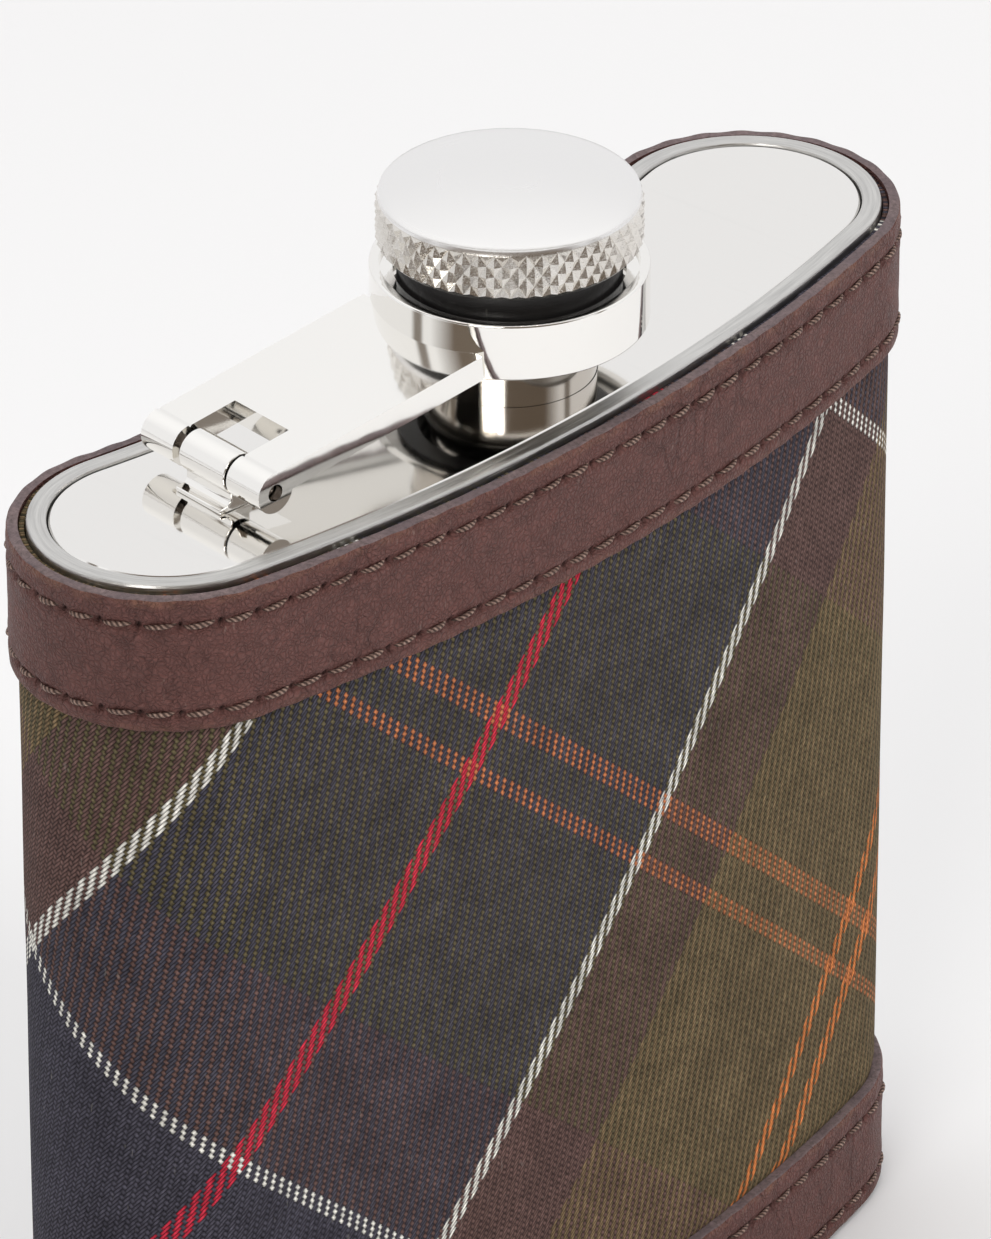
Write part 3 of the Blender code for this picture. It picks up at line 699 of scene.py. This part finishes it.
def makeNeck():
    low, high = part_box("neck")
    radius = (high.x - low.x) / 2
    top, bottom, cut = high.z - plateZ, low.z - plateZ, neck["chamfer"]
    bm = turnedMesh([
        (neck["bore"], top), (neck["root"], top), (neck["root"], neck["shoulder"] + cut),
        (radius - cut, neck["shoulder"]), (radius, neck["shoulder"] - cut),
        (radius, bottom), (neck["bore"], bottom),
    ], 96, neck["lip"])
    # The thread is a round ridge that climbs one pitch a turn.
    coil = bmesh.new()
    half, inner = neck["ridge"], neck["root"] - neck["sunk"]
    verts, _ = drawLine(coil, [
        (inner, 0, neck["first"] - half), (inner, 0, neck["first"] + half),
        (neck["root"] + half, 0, neck["first"]),
    ])
    roundCorners(coil, verts[2:], neck["ridgeRound"], 2)
    bmesh.ops.spin(
        coil, geom=coil.verts[:] + coil.edges[:], cent=(0, 0, 0), axis=(0, 0, 1), angle=turn * neck["turns"],
        steps=neck["stepsPerTurn"] * neck["turns"], dvec=(0, 0, neck["pitch"] / neck["stepsPerTurn"]),
    )
    bmesh.ops.holes_fill(coil, edges=[e for e in coil.edges if e.is_boundary], sides=12)
    bmesh.ops.recalc_face_normals(coil, faces=coil.faces)
    bmesh.ops.translate(coil, verts=coil.verts, vec=neckAxis)
    bmesh.ops.recalc_face_normals(bm, faces=bm.faces)
    helper = bpy.data.meshes.new("coil")
    coil.to_mesh(helper)
    coil.free()
    bm.from_mesh(helper)
    bpy.data.meshes.remove(helper)
    return place(meshPiece("pouringNeck", bm, [neckSteel], recalc=False), "flask", "neck", "polished_steel")


makeBodyWall()
makePlate("topPlate", plateZ, 7.0 * mm + plates["neckGap"], plateSteel, "top_plate", "polished_steel")
makePlate("bottomPlate", plates["thickness"], None, baseSteel, "bottom_plate", "brushed_steel")
makeNeck()
print("steel body ready")


# Hinge and arm
hinge = {
    "barrel": 1.75 * mm, "below": 0.45 * mm, "half": 7.0 * mm, "lugNear": 2.85 * mm, "lugFar": 2.5 * mm,
    "playNear": 0.3 * mm, "playFar": 0.75 * mm, "windowReach": 5.0 * mm, "pin": 0.6 * mm,
    "hole": 0.72 * mm, "web": 1.9 * mm, "foot": 2.1 * mm, "footHeight": 0.5 * mm, "edge": 0.11 * mm,
    "seam": 0.16 * mm,
}
hingeHeight = hingePlace.z - plateZ
collar = {
    "radius": 11.2 * mm, "bottom": 4.7 * mm, "top": 9.6 * mm, "wall": 0.8 * mm, "recess": 0.6 * mm,
    "lip": 0.7 * mm, "bore": 9.3 * mm,
}
reachToNeck = (neckAxis.xy - hingePlace.xy).length
armRise = math.atan2(collar["bottom"] - hingeHeight + hinge["below"], reachToNeck - collar["radius"])


def sideExtrusion(outline, near, far):
    # A flat (x, z) outline made solid along the pin, and placed on the hinge.
    bm = bmesh.new()
    verts, _ = drawLine(bm, [(x, -near, z) for x, z in outline])
    bmesh.ops.contextual_create(bm, geom=bm.edges[:])
    wide = bmesh.ops.extrude_face_region(bm, geom=bm.faces[:])["geom"]
    moved = [item for item in wide if isinstance(item, bmesh.types.BMVert)]
    bmesh.ops.translate(bm, verts=moved, vec=(0, near + far, 0))
    bmesh.ops.recalc_face_normals(bm, faces=bm.faces)
    return bm


def barrelArc(first, last, steps, radius):
    angles = [first + (last - first) * i / steps for i in range(steps + 1)]
    return [(radius * math.cos(a), radius * math.sin(a)) for a in angles]


def helperOf(bm, name, matrix=Matrix.Identity(4)):
    bmesh.ops.transform(bm, matrix=matrix, verts=bm.verts)
    bmesh.ops.recalc_face_normals(bm, faces=bm.faces)
    mesh = bpy.data.meshes.new(name)
    bm.to_mesh(mesh)
    bm.free()
    helper = bpy.data.objects.new(name, mesh)
    bpy.context.scene.collection.objects.link(helper)
    return helper


def pinCylinder(radius, near, far, segments=40):
    bm = bmesh.new()
    bmesh.ops.create_cone(bm, cap_ends=True, segments=segments, radius1=radius, radius2=radius,
                          depth=near + far)
    bmesh.ops.rotate(bm, verts=bm.verts, cent=(0, 0, 0), matrix=Matrix.Rotation(math.pi / 2, 3, "X"))
    bmesh.ops.translate(bm, verts=bm.verts, vec=(0, (far - near) / 2, 0))
    return bm


def makeHingeLug():
    floor = 0.02 * mm - hingeHeight
    web, foot, high = hinge["web"] / 2, hinge["foot"], hinge["footHeight"]
    side = math.acos(web / hinge["barrel"])
    barrel = barrelArc(-side, math.pi + side, 44, hinge["barrel"])
    outline = barrel + [
        (-web, floor + high + 0.35 * mm), (-web - 0.35 * mm, floor + high), (-foot, floor + high - 0.1 * mm),
        (-foot, floor), (foot, floor), (foot, floor + high - 0.1 * mm), (web + 0.35 * mm, floor + high),
        (web, floor + high + 0.35 * mm),
    ]
    bm = sideExtrusion(outline, hinge["lugNear"], hinge["lugFar"])
    softenEdges(bm, hinge["edge"], 3, 40)
    bmesh.ops.transform(bm, matrix=hingeMatrix, verts=bm.verts)
    return place(meshPiece("hingeLug", bm, [armSteel]), "flask", "hinge_lug", "polished_steel")


def makeHingePin():
    reach = hinge["half"] - 0.8 * mm
    bm = pinCylinder(hinge["pin"], reach, reach)
    softenEdges(bm, 0.15 * mm, 3, 60)
    bmesh.ops.transform(bm, matrix=hingeMatrix, verts=bm.verts)
    return place(meshPiece("hingePin", bm, [pinSteel]), "flask", "hinge_pin", "brushed_steel")


def makeArm():
    tilt = hingeMatrix @ Matrix.Rotation(-armRise, 4, "Y")
    top, under, seam = hinge["barrel"], -hinge["below"], hinge["seam"]
    meeting = turn - math.asin(hinge["below"] / hinge["barrel"])
    end = reachToNeck - collar["bore"] + 0.3 * mm
    step = 0.07 * mm
    outline = barrelArc(math.pi / 2, meeting, 40, hinge["barrel"]) + [
        (end, under), (end, top - step), (seam * 3, top - step), (seam * 2, top - step - seam),
        (seam, top - 0.02 * mm),
    ]
    arm = helperOf(sideExtrusion(outline, hinge["half"], hinge["half"]), "armBar", tilt)
    edge = 0.2 * mm
    outer, high, low = collar["radius"], collar["top"], collar["bottom"]
    blank = turnedMesh([(0, high), (outer, high), (outer, low), (0, low)], 144, edge, closed=False)
    lipTop = high - collar["recess"]
    lipLow = lipTop - collar["lip"]
    well = outer - collar["wall"]
    bore = turnedMesh([
        (0, high + 2 * mm), (well, high + 2 * mm), (well, lipTop), (collar["bore"], lipTop),
        (collar["bore"], lipLow), (well, lipLow), (well, low - 2 * mm), (0, low - 2 * mm),
    ], 144, 0.0, closed=False)
    window = bmesh.new()
    bmesh.ops.create_cube(window, size=1)
    lowCorner = Vector((-4 * mm, -hinge["lugNear"] - hinge["playNear"], -5 * mm))
    highCorner = Vector((hinge["windowReach"], hinge["lugFar"] + hinge["playFar"], 5 * mm))
    bmesh.ops.scale(window, verts=window.verts, vec=highCorner - lowCorner)
    bmesh.ops.translate(window, verts=window.verts, vec=(highCorner + lowCorner) / 2)
    hole = pinCylinder(hinge["hole"], 9 * mm, 9 * mm)
    bm = withCuts(arm, [helperOf(bore, "bore"), helperOf(window, "window", tilt),
                        helperOf(hole, "pinHole", hingeMatrix)], [helperOf(blank, "blank")])
    bmesh.ops.remove_doubles(bm, verts=bm.verts, dist=2e-6)
    bmesh.ops.dissolve_degenerate(bm, edges=bm.edges, dist=2e-6)
    piece = meshPiece("captiveArm", bm, [armSteel], recalc=False, even=False)
    soft = piece.modifiers.new("softEdge", "BEVEL")
    soft.width, soft.segments = hinge["edge"], 2
    soft.limit_method, soft.angle_limit = "ANGLE", math.radians(38)
    soft.use_clamp_overlap = True
    shading = piece.modifiers.new("evenShading", "WEIGHTED_NORMAL")
    shading.keep_sharp = True
    return place(piece, "arm", "captive_arm", "polished_steel")


makeHingeLug()
makeHingePin()
makeArm()
print("hinge and arm ready")


# Cap
knob = {
    "diamonds": 52, "rows": 2, "knurlDepth": 0.32 * mm, "chamfer": 0.3 * mm, "dome": 1.5 * mm,
    "domeStep": 0.22 * mm, "edge": 0.3 * mm, "pocket": 0.5 * mm, "bore": 9.3 * mm,
    "lower": 0.3 * mm,   # how far the crown stays below the frame's box
}


def makeKnob():
    radius = (knobHigh.x - knobLow.x) / 2
    low = knobLow.z - plateZ
    high = knobHigh.z - plateZ
    count, rows, depth = knob["diamonds"], knob["rows"], knob["knurlDepth"]
    shoulder = high - knob["dome"] - knob["lower"] / 2
    knurlTop = shoulder - knob["chamfer"]
    valley = radius - depth
    bm = bmesh.new()
    # Knurl: a coarse grid of squares is turned into a grid of diamonds, and each is raised to a point.
    bmesh.ops.create_cone(bm, cap_ends=False, segments=count, radius1=valley, radius2=valley,
                          depth=knurlTop - low - knob["edge"])
    bmesh.ops.translate(bm, verts=bm.verts, vec=(0, 0, (knurlTop + low + knob["edge"]) / 2))
    upright = [e for e in bm.edges if abs(e.verts[0].co.z - e.verts[1].co.z) > 1e-6]
    bmesh.ops.subdivide_edges(bm, edges=upright, cuts=rows - 1, use_grid_fill=True)
    grid = bm.edges[:]
    poked = bmesh.ops.poke(bm, faces=bm.faces[:])
    for centre in poked["verts"]:
        flat = Vector((centre.co.x, centre.co.y, 0)).normalized() * valley
        centre.co.x, centre.co.y = flat.x, flat.y
    inner = [e for e in grid if e.is_valid and len(e.link_faces) == 2]
    bmesh.ops.dissolve_edges(bm, edges=inner, use_verts=False)
    bmesh.ops.poke(bm, faces=bm.faces[:], offset=depth * 0.92)
    for face in bm.faces:
        face.material_index = 1
    # The rest of the knob is turned on the same number of sides as the knurl's edge.
    flatTop = radius - knob["chamfer"]
    step, rise = knob["domeStep"], knob["dome"] - knob["domeStep"] - knob["lower"] / 2
    shares = [i / 18 for i in range(18)]
    crown = [(flatTop * share, shoulder + step + rise * (1 - share ** 2.2)) for share in shares]
    crown += [(flatTop * 0.985, shoulder + step), (flatTop * 0.998, shoulder + 0.5 * step)]
    for profile in (
        crown + [(flatTop + 0.02 * mm, shoulder - 0.05 * mm), (valley + 0.1 * mm, knurlTop + 0.12 * mm),
                 (valley, knurlTop)],
        [(valley, low + knob["edge"]), (valley - 0.25 * mm, low), (knob["bore"], low),
         (knob["bore"], knurlTop - knob["pocket"]), (0, knurlTop - knob["pocket"])],
    ):
        verts, edges = drawLine(bm, [(r, 0, z) for r, z in profile], closed=False)
        bmesh.ops.spin(bm, geom=verts + edges, cent=(0, 0, 0), axis=(0, 0, 1), angle=turn, steps=count,
                       use_merge=True)
    bmesh.ops.remove_doubles(bm, verts=bm.verts, dist=0.02 * mm)
    bmesh.ops.translate(bm, verts=bm.verts, vec=neckAxis)
    return place(meshPiece("knurledKnob", bm, [knobTop, knobKnurl], sharp=24, even=False), "cap", "cap_knob",
                 "satin_knob_steel")


inside = {
    "bore": 7.35 * mm, "flange": 0.4 * mm, "grooveHeight": 0.7 * mm, "grooveDepth": 0.8 * mm,
    "ridges": 4, "ridgePitch": 1.5 * mm, "firstRidge": 0.9 * mm, "ridgeHalf": 0.3 * mm,
    "ridgeDepth": 0.25 * mm, "sealSeat": 0.1 * mm, "sealDish": 5.0 * mm, "dishSlope": 0.4 * mm,
    "dishDepth": 0.1 * mm, "ringInside": 0.7 * mm,
}


def makeCapInside():
    low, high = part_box("cap_insert")
    radius = (high.x - low.x) / 2
    bottom, roof = low.z - plateZ, high.z - plateZ
    bore, groove = inside["bore"], bottom + inside["flange"]
    grooveTop, grooveIn = groove + inside["grooveHeight"], radius - inside["grooveDepth"]
    sealLow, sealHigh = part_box("seal_washer")
    ceiling = sealHigh.z - plateZ + inside["sealSeat"]
    profile = [(0, roof), (radius, roof), (radius, grooveTop), (grooveIn, grooveTop),
               (grooveIn, groove), (radius, groove), (radius, bottom), (bore, bottom)]
    for i in range(inside["ridges"]):   # rings that stand for the moulded thread
        z, half = bottom + inside["firstRidge"] + inside["ridgePitch"] * i, inside["ridgeHalf"]
        profile += [(bore, z), (bore - inside["ridgeDepth"], z + half), (bore, z + 2 * half)]
    profile += [(bore, ceiling), (0, ceiling)]
    bm = turnedMesh(profile, 96, 0.06 * mm, closed=False, segments=2)
    place(meshPiece("capInsert", bm, [moulding]), "cap", "cap_insert", "black_moulding")

    sealRadius = (sealHigh.x - sealLow.x) / 2
    bottom, top = sealLow.z - plateZ, sealHigh.z - plateZ
    dish, dishTop = inside["sealDish"], bottom + inside["dishDepth"]
    bm = turnedMesh([(0, top), (sealRadius, top), (sealRadius, bottom), (dish + inside["dishSlope"], bottom),
                     (dish, dishTop), (0, dishTop)], 96, 0.08 * mm, closed=False)
    place(meshPiece("sealWasher", bm, [rubber]), "cap", "seal_washer", "seal_rubber")

    ringLow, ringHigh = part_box("retaining_ring")
    outer, inner = (ringHigh.x - ringLow.x) / 2, radius - inside["ringInside"]
    bottom, top = ringLow.z - plateZ, ringHigh.z - plateZ
    bm = turnedMesh([(inner, top), (outer, top), (outer, bottom), (inner, bottom)], 96, 0.12 * mm)
    place(meshPiece("retainingRing", bm, [ringSteel]), "cap_carrier", "retaining_ring", "brushed_steel")


makeKnob()
makeCapInside()
print("cap ready")


# Cloth wrap
wrap = {
    "low": 0.8 * mm, "high": 94.3 * mm, "thickness": 0.42 * mm, "under": 0.36 * mm, "outer": 0.62 * mm,
    "stepsPerStitch": 3, "rows": 104, "ripple": 0.05 * mm, "lap": 0.3 * mm,
}
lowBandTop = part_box("bottom_band")[1].z
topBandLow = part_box("top_band")[0].z


def arcAlong(phase, offset):
    # Length round the plan, in metres, from the middle of the convex face, leftwards negative.
    lengths = [abs(sweep) * (radius + side * offset) for _, _, sweep, radius, side in planArcs]

    def lengthTo(place):
        done = 0.0
        for length, count in zip(lengths, bodyPlan["stitches"]):
            part = min(max(place, 0), count)
            done += length * part / count
            place -= count
        return done
    seam = lengthTo(seamPhase)
    whole = sum(lengths)
    return ((lengthTo(phase) - seam) % whole) - ((lengthTo(bodyPlan["stitches"][0] / 2) - seam) % whole)


def makeClothWrap():
    bm = bmesh.new()
    base = wrap["outer"]
    drawLine(bm, [planPoint(0, base, wrap["low"]), planPoint(0, base, wrap["high"])], closed=False)
    bmesh.ops.subdivide_edges(bm, edges=bm.edges[:], cuts=wrap["rows"] - 1)
    sweepRoundPlan(bm, bm.verts[:] + bm.edges[:], wrap["stepsPerStitch"])
    bmesh.ops.recalc_face_normals(bm, faces=bm.faces)
    where = {}
    for v in bm.verts:
        phase, _, out = planWhere(v.co)
        where[v] = phase
        z = v.co.z
        edge = min(z - lowBandTop, topBandLow - z)
        share = min(max((edge + 0.3 * mm) / (1.2 * mm), 0), 1)
        offset = wrap["under"] + (wrap["outer"] - wrap["under"]) * share * share * (3 - 2 * share)
        offset += wrap["ripple"] * noise.noise(v.co * 90) * share
        lapped = (phase - seamPhase) % stitchTotal
        if lapped < 2.5 and share > 0:
            offset += wrap["lap"] * share * (1 - lapped / 2.5)
        if z > wrap["high"] - 0.2 * mm:
            z += 0.18 * mm * noise.noise(v.co * 900)
        v.co = planPoint(phase, offset, z)
    layer = bm.loops.layers.uv.new("cloth")
    for face in bm.faces:
        phases = [(where[loop.vert] - seamPhase) % stitchTotal for loop in face.loops]
        wide = max(phases) - min(phases) > stitchTotal / 2
        for loop, own in zip(face.loops, phases):
            if wide and own < stitchTotal / 2:   # the last column ends at a whole turn, not at nothing
                reach = arcAlong(seamPhase - 1e-6, base)
            else:
                reach = arcAlong(where[loop.vert], base)
            loop[layer].uv = (reach, loop.vert.co.z)
    if bm.faces[0].normal.dot(planWhere(bm.faces[0].calc_center_median())[2]) < 0:
        bmesh.ops.reverse_faces(bm, faces=bm.faces[:])
    piece = meshPiece("clothWrap", bm, [cloth], sharp=60, even=False, recalc=False)
    thick = piece.modifiers.new("thickness", "SOLIDIFY")
    thick.thickness, thick.offset = wrap["thickness"], 0.0
    place(piece, "flask", "fabric_wrap", "tartan_cloth")


makeClothWrap()
print("cloth ready")


# Leather bands and their stitching
band = {
    "inner": 0.64 * mm, "outer": 1.57 * mm, "round": 0.28 * mm, "stepsPerStitch": 10,
    "groove": 0.2 * mm, "grooveHalf": 0.55 * mm, "pit": 0.36 * mm, "pucker": 0.07 * mm,
    "wrinkle": 0.035 * mm,
}


def fallOff(distance, reach):
    share = min(abs(distance) / reach, 1)
    return (1 - share * share) ** 2


def makeBand(name, node, rowHeights):
    low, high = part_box(node)
    bm = bmesh.new()
    drawn = [(band["outer"], low.z), (band["outer"], high.z), (band["inner"], high.z), (band["inner"], low.z)]
    verts, _ = drawLine(bm, [planPoint(0, offset, z) for offset, z in drawn])
    roundCorners(bm, verts[:2], band["round"], 4)
    face = [e for e in bm.edges if min(planWhere(v.co)[1] for v in e.verts) > band["outer"] - 0.01 * mm]
    long = max(face, key=lambda e: e.calc_length())
    bmesh.ops.subdivide_edges(bm, edges=[long], cuts=round(long.calc_length() / (0.27 * mm)))
    sweepRoundPlan(bm, bm.verts[:] + bm.edges[:], band["stepsPerStitch"])
    bmesh.ops.recalc_face_normals(bm, faces=bm.faces)
    wearAndHighlightLayer = bm.verts.layers.float.new("wearAndHighlight")
    pitShadeLayer = bm.verts.layers.float.new("pit")
    for v in bm.verts:
        phase, offset, _ = planWhere(v.co)
        z = v.co.z
        if offset < band["inner"] + 0.1 * mm:
            continue
        face = fallOff(band["outer"] - offset, 0.5 * mm)
        move, pit = 0.0, 0.0
        inStitch = (phase % 1) - 0.5
        toHole = (0.5 - abs(inStitch)) * 3.15 * mm
        for rowZ in rowHeights:
            across = z - rowZ
            move -= band["groove"] * fallOff(across, band["grooveHalf"])
            hole = fallOff(math.hypot(across, toHole * 1.15), 0.55 * mm)
            move -= band["pit"] * hole
            # how close to each stitch hole, used as painted shade
            pit = max(pit, fallOff(math.hypot(across * 1.2, toHole * 1.3), 0.5 * mm))
            # the hide swells a little beside each stitch
            move += band["pucker"] * fallOff(abs(across) - 0.95 * mm, 0.8 * mm) * fallOff(inStitch, 0.5)
        move += band["wrinkle"] * noise.noise(Vector((v.co.x * 260, v.co.y * 260, z * 170)))
        move += 0.5 * band["wrinkle"] * noise.noise(v.co * 700)
        seam = (phase - seamPhase + 0.5 * stitchTotal) % stitchTotal - 0.5 * stitchTotal
        move -= 0.35 * mm * fallOff(seam, 0.12)
        edgeZ = min(z - low.z, high.z - z)
        # lighter edges: wear along both, with painted highlight making the upper edge stronger
        v[wearAndHighlightLayer] = (fallOff(edgeZ - 0.25 * mm, 0.7 * mm) * (0.75 if z > (low.z + high.z) / 2 else 0.35))
        # the pit attribute paints shade round each stitch hole
        v[pitShadeLayer] = pit * face
        scallop = 0.05 * mm * math.cos(turn * phase) * (1 if z > (low.z + high.z) / 2 else -1) * fallOff(
            edgeZ, 0.5 * mm)
        v.co = planPoint(phase, offset + move * face, z + scallop)
    for f in bm.faces:
        f.material_index = 1 if abs(f.normal.z) > 0.72 else 0
    piece = meshPiece(name, bm, [hide, hideEdge], sharp=50, even=False)
    return place(piece, "flask", node, "brown_leather")


def oneStitch():
    # A short thread: an oval carried along.
    bm = bmesh.new()
    ring = bmesh.ops.create_circle(bm, segments=stitch["sides"], radius=stitch["thick"],
                                   matrix=Matrix.Rotation(math.pi / 2, 4, "Y"))["verts"]
    bmesh.ops.scale(bm, verts=ring, vec=(1, 1, stitch["flat"]))
    bmesh.ops.contextual_create(bm, geom=list({e for v in ring for e in v.link_edges}))
    edges = bm.edges[:]
    for _ in range(stitch["rings"]):
        out = bmesh.ops.extrude_edge_only(bm, edges=edges)["geom"]
        moved = [item for item in out if isinstance(item, bmesh.types.BMVert)]
        edges = [item for item in out if isinstance(item, bmesh.types.BMEdge)]
        bmesh.ops.translate(bm, verts=moved, vec=(1 / stitch["rings"], 0, 0))
    bmesh.ops.contextual_create(bm, geom=edges)
    bmesh.ops.recalc_face_normals(bm, faces=bm.faces)
    mesh = bpy.data.meshes.new("oneStitch")
    bm.to_mesh(mesh)
    bm.free()
    return mesh


def makeStitches(name, node, rowZ, seed):
    rng = random.Random(seed)
    base = oneStitch()
    bm = bmesh.new()
    diveLayer = bm.verts.layers.float.new("dive")
    plyLayer = bm.verts.layers.float_vector.new("ply")
    for k in range(stitchTotal):
        first = len(bm.verts)
        bm.from_mesh(base)
        bm.verts.ensure_lookup_table()
        length = stitch["length"] * rng.uniform(0.94, 1.06)
        lean = stitch["lean"] * rng.uniform(0.6, 1.5)
        shift, lift, spin = rng.uniform(-0.03, 0.03), rng.uniform(-0.03, 0.04) * mm, rng.uniform(0, turn)
        for v in bm.verts[first:]:
            along = v.co.x - 0.5
            swell = 0.55 + 0.45 * fallOff(along, 0.56)
            y = (v.co.y * math.cos(spin) - v.co.z * math.sin(spin)) * swell
            z = (v.co.y * math.sin(spin) + v.co.z * math.cos(spin)) * swell
            depth = abs(2 * along) ** 3.2
            out = band["outer"] - band["groove"] * 0.55 + stitch["bow"] * (1 - depth) - stitch["dive"] * depth
            # the dive attribute paints shade where the thread enters its hole
            v[diveLayer] = min(max((abs(2 * along) - 0.8) / 0.2, 0), 1)
            v[plyLayer] = (v.co.x, v.co.y / stitch["thick"], v.co.z / stitch["thick"])
            v.co = planPoint(k + 0.5 + shift + along * length, out + y + lift, rowZ + z + lean * 2 * along)
    bpy.data.meshes.remove(base)
    bmesh.ops.reverse_faces(bm, faces=bm.faces[:])   # the plan's axes are left-handed
    piece = meshPiece(name, bm, [thread], sharp=80, even=False, recalc=False)
    return place(piece, "flask", node, "waxed_thread")


for seed, (bandName, bandNode) in enumerate((("topLeather", "top_band"), ("bottomLeather", "bottom_band"))):
    rowPlaces = {}
    for row in ("upper", "lower"):
        rowLow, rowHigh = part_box(f"{bandNode}_{row}_stitching")
        rowPlaces[row] = (rowLow.z + rowHigh.z) / 2
    makeBand(bandName, bandNode, list(rowPlaces.values()))
    for row, rowZ in rowPlaces.items():
        makeStitches(bandName + row.title() + "Stitches", f"{bandNode}_{row}_stitching", rowZ,
                     10 * seed + len(row) + (row == "upper"))
print("leather ready")


# Floor, light and camera
studio = {
    "floor": 1.6, "floorColour": (0.805, 0.808, 0.816), "sky": 1.0,
    "backdropWay": (0.704, 0.618, -0.35),
    # how much of the pale backdrop shows, from the room round to the backdrop, with a dark gap overhead
    "edges": ((-0.72, 0), (-0.46, 1), (-0.37, 1), (-0.33, 0.12), (-0.25, 0.12), (-0.19, 1)),
    "backdrop": (0.93, 0.93, 0.94), "ceiling": (1.16, 1.16, 1.16), "room": (0.17, 0.135, 0.105),
    "lamps": (
        ("keyBox", (-1.15, -0.45, 1.0), (0.6, 0.6), 7.0, (1, 0.99, 0.97), True),
        ("fillBox", (0.25, -1.2, 0.85), (0.6, 0.6), 7.0, (1, 0.99, 0.98), False),
        ("topBox", (0.1, 0.25, 1.3), (0.6, 0.6), 3.0, (1, 1, 1), False),
    ),
}


def makeStudio():
    bm = bmesh.new()
    bmesh.ops.create_grid(bm, x_segments=1, y_segments=1, size=studio["floor"])
    look, tree, shader = newLook("paleFloor", Base_Color=studio["floorColour"], Roughness=0.9,
                                 Specular_IOR_Level=0.1)
    faint = noiseOf(tree, objectPlace(tree), 3.0, 2.0)
    tone = tuple(c * 0.995 for c in studio["floorColour"])
    tree.links.new(blendColour(tree, faint, tone, studio["floorColour"]), shader["Base Color"])
    floor = meshPiece("studioFloor", bm, [look], even=False)

    world = bpy.data.worlds.new("studio")
    bpy.context.scene.world = world
    world.use_nodes = True
    tree = world.node_tree
    sky = tree.nodes["Background"]
    # A pale backdrop behind the object, and a dim warm room in front of it
    direction = addNode(tree, "ShaderNodeTexCoord").outputs["Generated"]
    toBackdrop = addNode(tree, "ShaderNodeVectorMath", {0: direction, 1: studio["backdropWay"]},
                         operation="DOT_PRODUCT").outputs["Value"]
    height = addNode(tree, "ShaderNodeSeparateXYZ", {0: direction}).outputs[2]
    pale = blendColour(tree, spread(tree, height, 0.5, 0.95), studio["backdrop"], studio["ceiling"])
    stops = [((cosine + 1) / 2, (share, share, share)) for cosine, share in studio["edges"]]
    mask = rampOf(tree, spread(tree, toBackdrop, -1, 1), stops)
    tree.links.new(blendColour(tree, mask, studio["room"], pale), sky.inputs[0])
    sky.inputs[1].default_value = studio["sky"]
    for name, at, size, power, colour, glossy in studio["lamps"]:
        lamp = bpy.data.lights.new(name, "AREA")
        lamp.shape, lamp.size, lamp.size_y, lamp.energy, lamp.color = "RECTANGLE", *size, power, colour
        holder = bpy.data.objects.new(name, lamp)
        bpy.context.scene.collection.objects.link(holder)
        holder.location = at
        holder.visible_glossy = glossy
        aim = Vector((0, 0, 0.06)) - holder.location
        holder.rotation_euler = aim.to_track_quat("-Z", "Y").to_euler()


def makeCamera():
    lens = bpy.data.cameras.new("camera")
    lens.sensor_width, lens.lens = 36, 321.4
    lens.clip_start, lens.clip_end = 0.05, 10
    holder = bpy.data.objects.new("camera", lens)
    bpy.context.scene.collection.objects.link(holder)
    holder.location = (-0.5796, -0.5084, 0.5223)
    holder.rotation_euler = Vector((0.6487, 0.5697, -0.5045)).to_track_quat("-Z", "Y").to_euler()
    bpy.context.scene.camera = holder


makeStudio()
makeCamera()
bpy.context.scene.view_settings.view_transform = "Standard"
print("scene ready")
